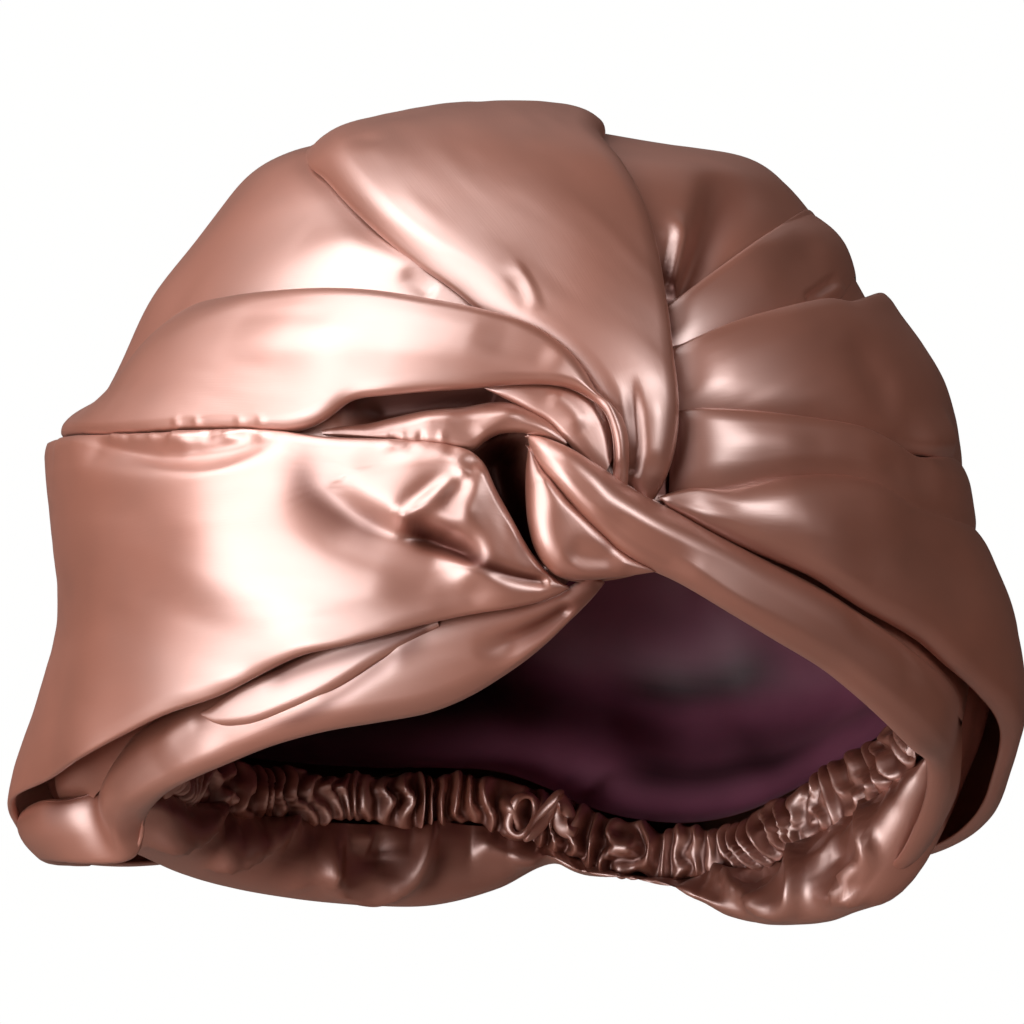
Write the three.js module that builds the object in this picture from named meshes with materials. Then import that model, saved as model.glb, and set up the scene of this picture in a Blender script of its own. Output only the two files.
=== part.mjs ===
/**
 * Twist-front satin hair wrap, worn form. Millimetres, +Z up, the face side towards -Y. Left and right in
 * names are as someone facing the wearer sees them, with right at +X. The origin is the middle of the head
 * opening, where a head carries the wrap.
 *
 * Every layer of cloth is laid over one rounded form: the outer face of a layer lies `lift` outside the
 * form, measured along the line from the layout centre. A panel of cloth is a short table of stations
 * from one end to the other; each station names a point on the panel's two long edges. A point with two
 * numbers is [x, z] on the face side and is carried back onto the form; one with three is [x, y, z] and
 * only its direction from the layout centre counts.
 */
import * as THREE from 'three';

// ------------------------------------------------------------------ driving dimensions
const LAYOUT_CENTRE = new THREE.Vector3(0, 0, 40);
const CLOTH = 1.2;            // wall of a doubled, pressed layer of satin
const AIR = 0.5;              // gap kept between a panel and the edge it meets
const LINING_DEPTH = 4.2;     // lining's outer face below the form
const LOWEST_LIFT = 1.9;      // a panel's outer face never comes closer to the crown than this
const CASING_HEIGHT = 11;     // gathered casing, top to bottom
const CASING_THICKNESS = 3.2; // the same, front to back between puckers
const PUCKERS = 26;           // gathers along the casing
const POUCH_FOLDS = 9;        // soft folds that run down the pouch from the casing

/** Radius of the form from the layout centre, by tilt above the horizontal, on its four sides. */
const FORM = [
  { tilt: -60, front: 104, right: 108, back: 104, left: 106 },
  { tilt: -45, front: 104, right: 116, back: 117, left: 113 },
  { tilt: -35, front: 104, right: 124, back: 125, left: 128 },
  { tilt: -30, front: 104, right: 126, back: 126, left: 133 },
  { tilt: -25, front: 104, right: 124, back: 125, left: 126 },
  { tilt: -18, front: 104, right: 120, back: 123, left: 115 },
  { tilt: -10, front: 104, right: 113, back: 120, left: 107 },
  { tilt: 0, front: 104, right: 105, back: 118, left: 106 },
  { tilt: 12, front: 104, right: 103, back: 117, left: 107 },
  { tilt: 20, front: 104, right: 103, back: 116, left: 102 },
  { tilt: 32, front: 103, right: 101, back: 113, left: 100 },
  { tilt: 45, front: 103, right: 104, back: 110, left: 103 },
  { tilt: 56, front: 102, right: 107, back: 106, left: 106.5 },
  { tilt: 63, front: 101, right: 103.5, back: 104, left: 104.5 },
  { tilt: 72, front: 99.5, right: 99.5, back: 101, left: 100 },
  { tilt: 90, front: 98, right: 98, back: 98, left: 98 },
];

/** Rim of the head opening: turn from the front (positive towards +X) and tilt, in degrees. */
const RIM = [
  { turn: -110, tilt: -28 },
  { turn: -93, tilt: -39 },
  { turn: -75, tilt: -35.5 },
  { turn: -60, tilt: -32 },
  { turn: -41, tilt: -28 },
  { turn: -25, tilt: -26.5 },
  { turn: -10, tilt: -23.5 },
  { turn: 1, tilt: -17 },
  { turn: 12, tilt: -6 },
  { turn: 22, tilt: -5 },
  { turn: 31, tilt: -10 },
  { turn: 48, tilt: -17 },
  { turn: 68, tilt: -24.5 },
  { turn: 87, tilt: -28.5 },
  { turn: 100, tilt: -34 },
  { turn: 112, tilt: -28 },
];

/** Middle line of the nape casing and the bottom of the pouch below it, by turn from the front. */
const NAPE = [
  { turn: 96, radius: 96, height: -5, pouch: -37 },
  { turn: 106, radius: 93, height: -12, pouch: -41 },
  { turn: 118, radius: 88, height: -20, pouch: -46 },
  { turn: 130, radius: 85, height: -28, pouch: -51 },
  { turn: 140, radius: 83, height: -33, pouch: -53 },
  { turn: 150, radius: 83, height: -35, pouch: -50 },
  { turn: 160, radius: 83, height: -34, pouch: -45 },
  { turn: 168, radius: 83, height: -31, pouch: -44 },
  { turn: 174, radius: 83, height: -27, pouch: -41 },
  { turn: 182, radius: 82, height: -23, pouch: -45 },
  { turn: 192, radius: 82, height: -22, pouch: -49 },
  { turn: 202, radius: 82, height: -22, pouch: -50 },
  { turn: 216, radius: 83, height: -21, pouch: -47 },
  { turn: 230, radius: 85, height: -19, pouch: -41 },
  { turn: 244, radius: 85, height: -16, pouch: -37 },
  { turn: 258, radius: 84, height: -14, pouch: -35 },
];

const NAPE_START = 84;        // turn either side of the front where the hem leaves the rim
const NAPE_FULL = 108;        // turn where it has become the nape casing
const POUCH_FOLD_DEPTH = 1.6;
const POUCH_SHOULDER = 17;    // height above the pouch's bottom where it is back on the form
const CROWN_COLUMNS = 60;
const CROWN_HEM_RISE = 12;    // degrees that the crown's hem stays above the rim, across the face
const CROWN_DOME = [0.1, 0.2, 0.32, 0.45, 0.58, 0.72, 0.86, 1];
const LINING_COLUMNS = 36;
const LINING_HEM_RISE = 9;
const LINING_EAR_EASE = 7;  // how much further in the lining sits where it passes the ears
const LINING_DOME = [0.16, 0.34, 0.55, 0.78, 1];
const CASING_KNOT = { turn: 176, width: 14, depth: 5, height: 11 };

/** Satin outside, satin lining inside. */
const FINISH = {
  satin: { color: 0xb98d84, roughness: 0.36, metalness: 0.25 },
  shadedSatin: { color: 0xa87a70, roughness: 0.38, metalness: 0.25 },
  lining: { color: 0x4a2233, roughness: 0.5, metalness: 0.1 },
};

/**
 * Panels of cloth over the crown. `lift` is the height of the panel's face above the form, `belly` how
 * much more it swells in the middle; `rollA` and `rollB` are the widths over which its long edges roll
 * down by `dropA` and `dropB`.
 */
const PANELS = [
  {
    name: 'crown_sweep', finish: 'satin', columns: 15, rows: 7,
    lift: 4.5, belly: 2.5, rollA: 8, dropA: 3, rollB: 4, dropB: 3,
    stations: [
      { a: [27.5, 57], b: [35, 53] },
      { a: [27.8, 63], b: [37, 58.5] },
      { a: [27.8, 69.5], b: [39.5, 65] },
      { a: [22.8, 76.5], b: [40, 72] },
      { a: [14.8, 87], b: [38.5, 84] },
      { a: [9.2, 92], b: [37.8, 90] },
      { a: [1, 95.3], b: [37, 96.5] },
      { a: [-10, 99], b: [36, 103] },
      { a: [-21.5, 107], b: [34, 113.5] },
      { a: [-33.5, 116], b: [31, 122] },
      { a: [-43, 126.5], b: [26, 131] },
      { a: [-46, -20, 132], b: [22, -8, 141] },
      { a: [-38, 22, 132], b: [18, 30, 139], lift: 3.6 },
      { a: [-18, 62, 122], b: [6, 66, 122], lift: 2.4 },
    ],
  },
  {
    name: 'over_loop', finish: 'satin', columns: 18, rows: 5,
    lift: 4.5, belly: 1.5, rollA: 6, dropA: 2.5, rollB: 4, dropB: 2.5,
    stations: [
      { a: [26.4, 58], b: [24.6, 59] },
      { a: [26.3, 66], b: [24.3, 66] },
      { a: [24, 71], b: [22.6, 70.8] },
      { a: [18.2, 77.5], b: [16, 76.6] },
      { a: [12.8, 83.5], b: [7, 78.4] },
      { a: [7.6, 88.3], b: [-1, 78] },
      { a: [-1, 91.7], b: [-12, 77.9] },
      { a: [-18, 96], b: [-27, 77.2] },
      { a: [-33.5, 98.5], b: [-39.5, 72.6] },
      { a: [-57, 99], b: [-60, 67] },
      { a: [-76, 96.5], b: [-84, 67.5] },
      { a: [-95, 78], b: [-103, 67] },
    ],
  },
  {
    name: 'loop_middle', finish: 'shadedSatin', columns: 12, rows: 4,
    lift: 3, belly: 0.8, rollA: 3, dropA: 1, rollB: 2.5, dropB: 1,
    stations: [
      { a: [-38, 70], b: [-35.5, 67.8] },
      { a: [-31, 73.6], b: [-26.5, 69.8] },
      { a: [-19, 75.2], b: [-17, 71.6] },
      { a: [-5, 75.4], b: [-5, 73.4] },
      { a: [2, 75.6], b: [2.5, 72.4] },
      { a: [10, 75.2], b: [8.5, 69.7] },
      { a: [16.2, 73.2], b: [12.5, 65.8] },
      { a: [20, 70.6], b: [15, 62.5] },
      { a: [21.8, 65], b: [17, 59] },
      { a: [22, 59.5], b: [19.5, 56.8] },
    ],
  },
  {
    name: 'loop_inner', finish: 'shadedSatin', columns: 9, rows: 4,
    lift: 2.2, belly: 0.6, rollA: 3, dropA: 0.3, rollB: 3, dropB: 0.3,
    stations: [
      { a: [-29, 67.8], b: [-29, 65.9] },
      { a: [-18, 70], b: [-19, 65.4] },
      { a: [-8, 71.8], b: [-9, 64.4] },
      { a: [0.5, 70.8], b: [-3, 66] },
      { a: [6, 68.6], b: [4.2, 66] },
    ],
  },
  {
    name: 'left_band', finish: 'satin', columns: 26, rows: 7,
    lift: 4, belly: 3, rollA: 5, dropA: 2.2, rollB: 4, dropB: 2.5,
    stations: [
      { a: [8.5, 31], b: [17, 29.5] },
      { a: [4, 36.5], b: [11, 28] },
      { a: [0, 44.5], b: [4, 26.5] },
      { a: [-7, 59], b: [-12, 22.5] },
      { a: [-17, 63], b: [-23.5, 19.5] },
      { a: [-30, 63.5], b: [-33.5, 15.5] },
      { a: [-46, 64.5], b: [-47.5, 9] },
      { a: [-62, 65.5], b: [-62, 3.5] },
      { a: [-76, 66], b: [-76, 0.5] },
      { a: [-90, 66], b: [-88.5, -4] },
      { a: [-101, 66], b: [-101, -10] },
      { a: [-108, 5, 64], b: [-113, -12, -19] },
      { a: [-105, 30, 62], b: [-118, 8, -28] },
      { a: [-94, 55, 58], b: [-110, 35, -34] },
      { a: [-78, 80, 51], b: [-96, 60, -36] },
      { a: [-58, 100, 36], b: [-72, 88, -31] },
      { a: [-36, 114, 14], b: [-46, 108, -22] },
      { a: [-16, 118, -4], b: [-20, 118, -13] },
    ],
  },
  {
    name: 'left_fold', finish: 'shadedSatin', columns: 8, rows: 4,
    lift: 3.4, belly: 0.6, rollA: 2, dropA: 0.5, rollB: 2, dropB: 0.8,
    stations: [
      { a: [-29, 16.2], b: [-26.5, 13.6] },
      { a: [-39.5, 11.2], b: [-36.5, 8] },
      { a: [-55.5, 3.8], b: [-52.5, 0.4] },
      { a: [-66, 0.4], b: [-63.5, -3] },
    ],
  },
  {
    name: 'left_hem', finish: 'satin', columns: 20, rows: 5,
    lift: 3.4, belly: 1.2, rollA: 3, dropA: 1, rollB: 5, dropB: 3,
    stations: [
      { a: [15, 27.6], b: [20, 26.3], lift: 3.4 },
      { a: [2, 23.8], b: [11, 18.5], lift: 3.4 },
      { a: [-11, 20], b: [2, 10], lift: 3.4 },
      { a: [-23, 14.6], b: [-7.5, 3.5], lift: 3.2 },
      { a: [-36, 7], b: [-22, -2], lift: 3 },
      { a: [-50, -0.8], b: [-39.5, -5], lift: 2.4 },
      { a: [-63, -4], b: [-55, -9], lift: 0 },
      { a: [-76, -3], b: [-70, -14], lift: -4 },
      { a: [-86.5, -8], b: [-80, -19], lift: -7 },
      { a: [-92, -12, -18], b: [-85, -20, -25], lift: -9 },
      { a: [-96, 4, -24], b: [-89, -4, -32], lift: -10 },
    ],
  },
  {
    name: 'right_band', finish: 'satin', columns: 24, rows: 7,
    lift: 4.5, belly: 2.5, rollA: 6, dropA: 2.5, rollB: 4, dropB: 2.5,
    stations: [
      { a: [37, 51], b: [38.5, 49] },
      { a: [42, 52.5], b: [45, 44.3] },
      { a: [50.5, 52], b: [54.5, 38.8] },
      { a: [59.5, 54], b: [66, 33.8] },
      { a: [70.5, 55.8], b: [76.5, 28.8] },
      { a: [80, 55.3], b: [85, 23.3] },
      { a: [89, 53.5], b: [93, 19.5] },
      { a: [98, 49.5], b: [102, 13.5] },
      { a: [106, 45], b: [110, 7] },
      { a: [109, 8, 42], b: [118, -10, -2], lift: 5 },
      { a: [108, 26, 41], b: [121, 8, -12], lift: 6 },
      { a: [100, 50, 40], b: [115, 32, -26], lift: 6 },
      { a: [86, 74, 36], b: [100, 58, -34], lift: 6 },
      { a: [64, 97, 26], b: [76, 86, -31], lift: 6 },
      { a: [38, 113, 8], b: [48, 108, -23], lift: 6 },
      { a: [16, 118, -7], b: [20, 118, -15], lift: 6 },
    ],
  },
  {
    name: 'twist_strand', finish: 'satin', columns: 22, rows: 6,
    lift: 9, belly: 1.5, rollA: 6, dropA: 5, rollB: 6, dropB: 5,
    stations: [
      { a: [4.2, 64], b: [5, 60.8], lift: 8 },
      { a: [8.5, 64], b: [8.8, 56.2], lift: 8.5 },
      { a: [15.5, 62], b: [14.3, 49.6], lift: 9 },
      { a: [25, 57.5], b: [22.3, 41.2], lift: 9.5 },
      { a: [34.3, 50], b: [31.2, 34.4], lift: 9 },
      { a: [48.8, 41.6], b: [41.5, 30.5], lift: 8 },
      { a: [64.3, 34], b: [52.5, 22.5], lift: 7 },
      { a: [76.3, 28], b: [64, 15.5], lift: 6 },
      { a: [84.8, 22.4], b: [76, 8.5], lift: 4.6 },
      { a: [95.3, 15.4], b: [84, 2], lift: 3.4 },
      { a: [103, 7], b: [92, -5], lift: 2 },
      { a: [106, -10, -6], b: [98, -22, -13], lift: -2 },
      { a: [106, 4, -17], b: [100, -4, -23], lift: -7 },
      { a: [102, 16, -28], b: [95, 12, -34], lift: -9 },
    ],
  },
  {
    name: 'knot_wrap', finish: 'satin', columns: 9, rows: 5,
    lift: 6.5, belly: 1.5, rollA: 4, dropA: 1.5, rollB: 4, dropB: 1.5,
    stations: [
      { a: [3.2, 55], b: [7.4, 56] },
      { a: [3.2, 51], b: [10, 52.5] },
      { a: [4.5, 44.5], b: [16.1, 46] },
      { a: [8.5, 38.5], b: [21.9, 40] },
      { a: [14, 33.5], b: [26.2, 35.8] },
      { a: [20.5, 30.4], b: [29.4, 33.6] },
    ],
  },
  {
    name: 'pleat_upper', finish: 'satin', columns: 9, rows: 5,
    lift: 3.2, belly: 0.6, rollA: 3, dropA: 1, rollB: 9, dropB: 1.3,
    stations: [
      { a: [38.5, 95], b: [39.5, 86.5] },
      { a: [44, 99], b: [47, 90] },
      { a: [51, 104], b: [57, 93] },
      { a: [58, 109], b: [66, 96] },
      { a: [65, 114], b: [74, 98.5] },
      { a: [70, 22, 112], b: [79, 20, 99] },
      { a: [68, 48, 106], b: [73, 48, 98], lift: 2.2 },
    ],
  },
  {
    name: 'pleat_middle', finish: 'satin', columns: 11, rows: 5,
    lift: 4.4, belly: 0.8, rollA: 3, dropA: 2, rollB: 9, dropB: 2.5,
    stations: [
      { a: [40, 84.5], b: [42, 72.5] },
      { a: [46.5, 88], b: [51, 72.5] },
      { a: [56.5, 91.5], b: [62, 71.5] },
      { a: [66, 94.5], b: [75, 70] },
      { a: [74.5, 96.5], b: [85, 67.5] },
      { a: [83, 8, 96], b: [97, 8, 62] },
      { a: [84, 40, 91], b: [94, 40, 62] },
      { a: [74, 70, 82], b: [79, 70, 66], lift: 2.4 },
    ],
  },
  {
    name: 'pleat_lower', finish: 'satin', columns: 11, rows: 5,
    lift: 4.4, belly: 0.8, rollA: 3, dropA: 2, rollB: 7, dropB: 2.5,
    stations: [
      { a: [42, 71], b: [39, 54.5] },
      { a: [51, 71], b: [50, 54.5] },
      { a: [62, 69.5], b: [60, 56.5] },
      { a: [75, 68], b: [71, 58.3] },
      { a: [85, 65.5], b: [81, 58] },
      { a: [97, 6, 60], b: [98, 6, 51] },
      { a: [92, 42, 57], b: [94, 40, 48], lift: 3.4 },
      { a: [82, 68, 54], b: [83, 68, 49], lift: 2.2 },
    ],
  },
];

// ------------------------------------------------------------------ the form
const toRadians = THREE.MathUtils.degToRad;
const toDegrees = THREE.MathUtils.radToDeg;

/** Smooth value of one column of a table at `x`, whose rows are in rising order of `key`. */
function readTable(rows, key, column, x) {
  const last = rows.length - 1;
  const at = Math.min(Math.max(x, rows[0][key]), rows[last][key]);
  let i = 0;
  while (i < last - 1 && at > rows[i + 1][key]) i += 1;
  const span = rows[i + 1][key] - rows[i][key];
  const slope = (j) => {
    const from = rows[Math.max(j - 1, 0)];
    const to = rows[Math.min(j + 1, last)];
    return ((to[column] - from[column]) / (to[key] - from[key])) * span;
  };
  const t = (at - rows[i][key]) / span;
  const rise = rows[i + 1][column] - rows[i][column];
  const bend = (2 * slope(i) + slope(i + 1)) - 3 * rise;
  return rows[i][column] + t * (slope(i) + t * (-bend + t * (slope(i) + slope(i + 1) - 2 * rise)));
}

/** Unit vector for a turn from the front (positive towards +X) and a tilt, both in degrees. */
function direction(turn, tilt) {
  const level = Math.cos(toRadians(tilt));
  return new THREE.Vector3(
    level * Math.sin(toRadians(turn)), -level * Math.cos(toRadians(turn)), Math.sin(toRadians(tilt)));
}

/** Radius of the form along a unit vector: an ellipse in plan between its front or back and its side. */
function formRadius(unit) {
  const tilt = toDegrees(Math.asin(THREE.MathUtils.clamp(unit.z, -1, 1)));
  const level = Math.hypot(unit.x, unit.y) || 1;
  const ahead = unit.y / level;
  const aside = unit.x / level;
  const along = readTable(FORM, 'tilt', unit.y < 0 ? 'front' : 'back', tilt);
  const across = readTable(FORM, 'tilt', unit.x > 0 ? 'right' : 'left', tilt);
  return 1 / Math.sqrt((ahead / along) ** 2 + (aside / across) ** 2);
}

/** Point `lift` outside the form along a unit vector. */
function onForm(unit, lift) {
  return unit.clone().multiplyScalar(formRadius(unit) + lift).add(LAYOUT_CENTRE);
}

/** Direction of a table point: [x, z] on the face side at height `lift`, or [x, y, z] as it stands. */
function directionOf(point, lift) {
  if (point.length === 3) return new THREE.Vector3(...point).sub(LAYOUT_CENTRE).normalize();
  const [x, z] = point;
  const up = z - LAYOUT_CENTRE.z;
  const unit = new THREE.Vector3(x, -60, up).normalize();
  for (let i = 0; i < 8; i += 1) {
    const reach = formRadius(unit) + lift;
    unit.set(x, -Math.sqrt(Math.max(reach ** 2 - x ** 2 - up ** 2, 0)), up).normalize();
  }
  return unit;
}

// ------------------------------------------------------------------ shells
/** Outward unit normals of a grid of points, [column][row]; `wraps` closes it from last to first column. */
function gridNormals(grid, wraps) {
  const count = grid.length;
  return grid.map((column, i) => column.map((point, j) => {
    const before = wraps ? grid[(i + count - 1) % count] : grid[Math.max(i - 1, 0)];
    const after = wraps ? grid[(i + 1) % count] : grid[Math.min(i + 1, count - 1)];
    const along = after[j].clone().sub(before[j]);
    const across = column[Math.min(j + 1, column.length - 1)].clone().sub(column[Math.max(j - 1, 0)]);
    const normal = along.cross(across);
    if (normal.lengthSq() < 1e-8) return point.clone().sub(LAYOUT_CENTRE).normalize();
    return normal.normalize();
  }));
}

/**
 * Closed shell between a grid of outer points and the same grid moved in by `wall`. A grid that wraps
 * ends in a pole at its last row; any other grid is closed all round its border.
 */
function shellGeometry(outer, wall, wraps) {
  const normals = gridNormals(outer, wraps);
  const middle = outer[0].length >> 1;
  const outwards = outer[0][middle].clone().sub(LAYOUT_CENTRE).dot(normals[0][middle]) > 0 ? 1 : -1;
  const inner = outer.map((column, i) => column.map((point, j) => (
    point.clone().addScaledVector(normals[i][j], -outwards * wall))));
  const columns = outer.length;
  const rows = outer[0].length;
  const positions = [...outer, ...inner].flat().flatMap((point) => point.toArray());
  const faces = [];
  const skin = (i, j, inside) => (inside ? columns * rows : 0) + (i % columns) * rows + j;
  const quad = (a, b, c, d) => faces.push(...(outwards > 0 ? [a, b, c, a, c, d] : [a, c, b, a, d, c]));
  const spans = wraps ? columns : columns - 1;
  for (let i = 0; i < spans; i += 1) {
    for (let j = 0; j < rows - 1; j += 1) {
      quad(skin(i, j), skin(i + 1, j), skin(i + 1, j + 1), skin(i, j + 1));
      quad(skin(i, j, true), skin(i, j + 1, true), skin(i + 1, j + 1, true), skin(i + 1, j, true));
    }
    quad(skin(i, 0), skin(i, 0, true), skin(i + 1, 0, true), skin(i + 1, 0));
    if (!wraps) {
      const top = rows - 1;
      quad(skin(i, top), skin(i + 1, top), skin(i + 1, top, true), skin(i, top, true));
    }
  }
  if (!wraps) {
    const end = columns - 1;
    for (let j = 0; j < rows - 1; j += 1) {
      quad(skin(0, j), skin(0, j + 1), skin(0, j + 1, true), skin(0, j, true));
      quad(skin(end, j), skin(end, j, true), skin(end, j + 1, true), skin(end, j + 1));
    }
  }
  const geometry = new THREE.BufferGeometry();
  geometry.setAttribute('position', new THREE.Float32BufferAttribute(positions, 3));
  geometry.setIndex(faces);
  geometry.computeVertexNormals();
  return geometry;
}

/** Mesh with its own material of the named finish. */
function clothMesh(name, geometry, finish) {
  const mesh = new THREE.Mesh(geometry, new THREE.MeshStandardMaterial(FINISH[finish]));
  mesh.name = name;
  return mesh;
}

// ------------------------------------------------------------------ panels
/** How far an edge has rolled down at a distance from it: a quarter round of the given width and drop. */
function rolledDown(distance, width, drop) {
  const left = Math.max(1 - distance / width, 0);
  return drop * (1 - Math.sqrt(1 - left ** 2));
}

/** Panel of cloth laid over the form through its stations. */
function panelMesh(panel) {
  const lifts = panel.stations.map((station) => station.lift ?? panel.lift);
  const edge = (key) => new THREE.CatmullRomCurve3(panel.stations.map((station, i) => (
    onForm(directionOf(station[key], lifts[i]), lifts[i]))), false, 'centripetal');
  const edges = [edge('a'), edge('b')];
  const middle = new THREE.CatmullRomCurve3(panel.stations.map((station, i) => (
    edges[0].points[i].clone().lerp(edges[1].points[i], 0.5))), false, 'centripetal');
  const grid = [];
  for (let i = 0; i < panel.columns; i += 1) {
    const t = middle.getUtoTmapping(i / (panel.columns - 1));
    const from = edges[0].getPoint(t);
    const to = edges[1].getPoint(t);
    const width = from.distanceTo(to);
    const station = t * (lifts.length - 1);
    const low = Math.min(Math.floor(station), lifts.length - 2);
    const lift = THREE.MathUtils.lerp(lifts[low], lifts[low + 1], station - low);
    const floor = Math.min(lift, LOWEST_LIFT);
    const column = [];
    for (let j = 0; j < panel.rows; j += 1) {
      const s = 0.5 - 0.5 * Math.cos((Math.PI * j) / (panel.rows - 1));
      const unit = from.clone().lerp(to, s).sub(LAYOUT_CENTRE).normalize();
      const height = lift + panel.belly * Math.sin(Math.PI * s) * Math.min(width / 25, 1)
        - rolledDown(s * width, panel.rollA, panel.dropA)
        - rolledDown((1 - s) * width, panel.rollB, panel.dropB);
      column.push(onForm(unit, Math.max(height, floor)));
    }
    grid.push(column);
  }
  return clothMesh(panel.name, shellGeometry(grid, CLOTH, false), panel.finish);
}

// ------------------------------------------------------------------ crown and lining
/** Share of a turn (degrees) that belongs to the nape: 0 across the face, 1 round the back. */
function napeShare(turn) {
  const aside = Math.abs(((turn + 180) % 360) - 180);
  return THREE.MathUtils.smoothstep(aside, NAPE_START, NAPE_FULL);
}

/** Row of the nape table at a turn, held at its ends across the face. */
function napeAt(turn) {
  const round = turn < NAPE[0].turn / 2 ? turn + 360 : turn;
  const read = (column) => readTable(NAPE, 'turn', column, round);
  return { radius: read('radius'), height: read('height'), pouch: read('pouch') };
}

/** Tilt of the opening's rim at a turn between 0 and 360 degrees. */
function rimTilt(turn) {
  return readTable(RIM, 'turn', 'tilt', turn > 180 ? turn - 360 : turn);
}

/** Point at a level radius and height, in the plane of a turn. */
function around(turn, radius, height) {
  const level = direction(turn, 0).multiplyScalar(radius);
  return level.setZ(height);
}

/** Level radius of the form at a height, in the plane of a turn. */
function levelRadius(turn, height) {
  const up = height - LAYOUT_CENTRE.z;
  let level = 100;
  for (let i = 0; i < 8; i += 1) {
    const unit = direction(turn, toDegrees(Math.atan2(up, level)));
    level = Math.sqrt(Math.max(formRadius(unit) ** 2 - up ** 2, 0));
  }
  return level;
}

/** One meridian of a cap, hem to apex: nape points blended into a hem on the form, then the form. */
function capColumn(turn, napePoints, hemTilt, shoulderSteps, lift, dome) {
  const share = napeShare(turn);
  const ease = lift < 0 ? LINING_EAR_EASE * Math.sqrt(Math.sin(Math.PI * share)) : 0;
  const column = napePoints.map((point, i) => (
    onForm(direction(turn, hemTilt + shoulderSteps[i]), lift - ease).lerp(point, share)));
  const shoulder = column[column.length - 1].clone().sub(LAYOUT_CENTRE).normalize();
  const start = toDegrees(Math.asin(shoulder.z));
  dome.forEach((fraction) => {
    const tilt = start + (90 - start) * fraction;
    column.push(onForm(direction(turn, tilt), lift));
  });
  return column;
}

/** Side to side swell of the pouch's folds at a turn, between -1 and 1, fading out at the ears. */
function pouchFold(turn) {
  const first = NAPE[0].turn;
  const along = (turn - first) / (NAPE[NAPE.length - 1].turn - first);
  return Math.cos(2 * Math.PI * POUCH_FOLDS * along) * napeShare(turn);
}

/** The cap of satin: over the head, down the back, under as a pouch and up to the nape casing. */
function crownMesh() {
  const grid = Array.from({ length: CROWN_COLUMNS }, (_, i) => {
    const turn = (360 * i) / CROWN_COLUMNS;
    const nape = napeAt(turn);
    const fold = pouchFold(turn) * POUCH_FOLD_DEPTH;
    const casingFoot = nape.height - CASING_HEIGHT / 2 - AIR;
    const outside = levelRadius(turn, nape.pouch + POUCH_SHOULDER);
    const points = [
      around(turn, nape.radius, casingFoot),
      around(turn, nape.radius - 3 + fold, (casingFoot + nape.pouch) / 2),
      around(turn, nape.radius + 4 + fold, nape.pouch + 1),
      around(turn, (nape.radius + 7 + outside) / 2, nape.pouch + 2 - fold),
      around(turn, outside + fold / 2, nape.pouch + POUCH_SHOULDER),
    ];
    return capColumn(turn, points, rimTilt(turn) + CROWN_HEM_RISE, [0, 4, 8, 12, 17], 0, CROWN_DOME);
  });
  return clothMesh('crown', shellGeometry(grid, CLOTH, true), 'satin');
}

/** The plum lining: the same cap inside the crown, from the rim and the top of the nape casing up. */
function liningMesh() {
  const grid = Array.from({ length: LINING_COLUMNS }, (_, i) => {
    const turn = (360 * i) / LINING_COLUMNS;
    const nape = napeAt(turn);
    const casingTop = nape.height + CASING_HEIGHT / 2 + AIR;
    const points = [
      around(turn, nape.radius + 0.5, casingTop + 1),
      around(turn, nape.radius + 7, casingTop + 4),
      around(turn, nape.radius + 12, casingTop + 15),
    ];
    return capColumn(turn, points, rimTilt(turn) + LINING_HEM_RISE, [0, 6, 13], -LINING_DEPTH, LINING_DOME);
  });
  return clothMesh('lining', shellGeometry(grid, CLOTH, true), 'lining');
}

// ------------------------------------------------------------------ nape casing
/** The gathered elastic casing: a flat section carried round the nape, pinched at every pucker. */
function casingMesh() {
  const section = [[-1, -0.5], [-1, 0.5], [-0.3, 1], [0.6, 1], [1, 0.3], [0.6, -1], [-0.3, -1]];
  const columns = PUCKERS * 3 + 1;
  const last = NAPE[NAPE.length - 1].turn;
  const positions = [];
  const faces = [];
  for (let i = 0; i < columns; i += 1) {
    const along = i / (columns - 1);
    const turn = NAPE[0].turn + (last - NAPE[0].turn) * along;
    const nape = napeAt(turn);
    const swell = i % 3 === 0 ? 0.6 : 1;
    const sway = i % 3 === 1 ? 0.5 : -0.5;
    section.forEach(([out, up]) => {
      const radius = nape.radius + out * swell * (CASING_THICKNESS / 2);
      const height = nape.height + sway * 0.6 + up * (CASING_HEIGHT / 2 - 0.4);
      positions.push(...around(turn, radius, height).toArray());
    });
  }
  const count = section.length;
  for (let i = 0; i < columns - 1; i += 1) {
    for (let k = 0; k < count; k += 1) {
      const a = i * count + k;
      const b = i * count + ((k + 1) % count);
      faces.push(a, b, b + count, a, b + count, a + count);
    }
  }
  const end = (columns - 1) * count;
  for (let k = 1; k < count - 1; k += 1) {
    faces.push(0, k + 1, k, end, end + k, end + k + 1);
  }
  const geometry = new THREE.BufferGeometry();
  geometry.setAttribute('position', new THREE.Float32BufferAttribute(positions, 3));
  geometry.setIndex(faces);
  geometry.computeVertexNormals();
  return clothMesh('nape_casing', geometry, 'satin');
}

/** The small looped join at the middle of the casing, on the side of the head. */
function casingKnotMesh() {
  const nape = napeAt(CASING_KNOT.turn);
  const geometry = new THREE.SphereGeometry(1, 12, 8);
  geometry.scale(CASING_KNOT.width / 2, CASING_KNOT.depth / 2, CASING_KNOT.height / 2);
  const mesh = clothMesh('casing_knot', geometry, 'satin');
  const inwards = nape.radius - CASING_THICKNESS / 2 - AIR - CASING_KNOT.depth / 2;
  mesh.position.copy(around(CASING_KNOT.turn, inwards, nape.height));
  mesh.rotation.z = toRadians(CASING_KNOT.turn);
  return mesh;
}

// ------------------------------------------------------------------ the wrap
const wrap = new THREE.Group();
wrap.add(crownMesh(), liningMesh(), casingMesh(), casingKnotMesh(), ...PANELS.map(panelMesh));

export default wrap;
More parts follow.
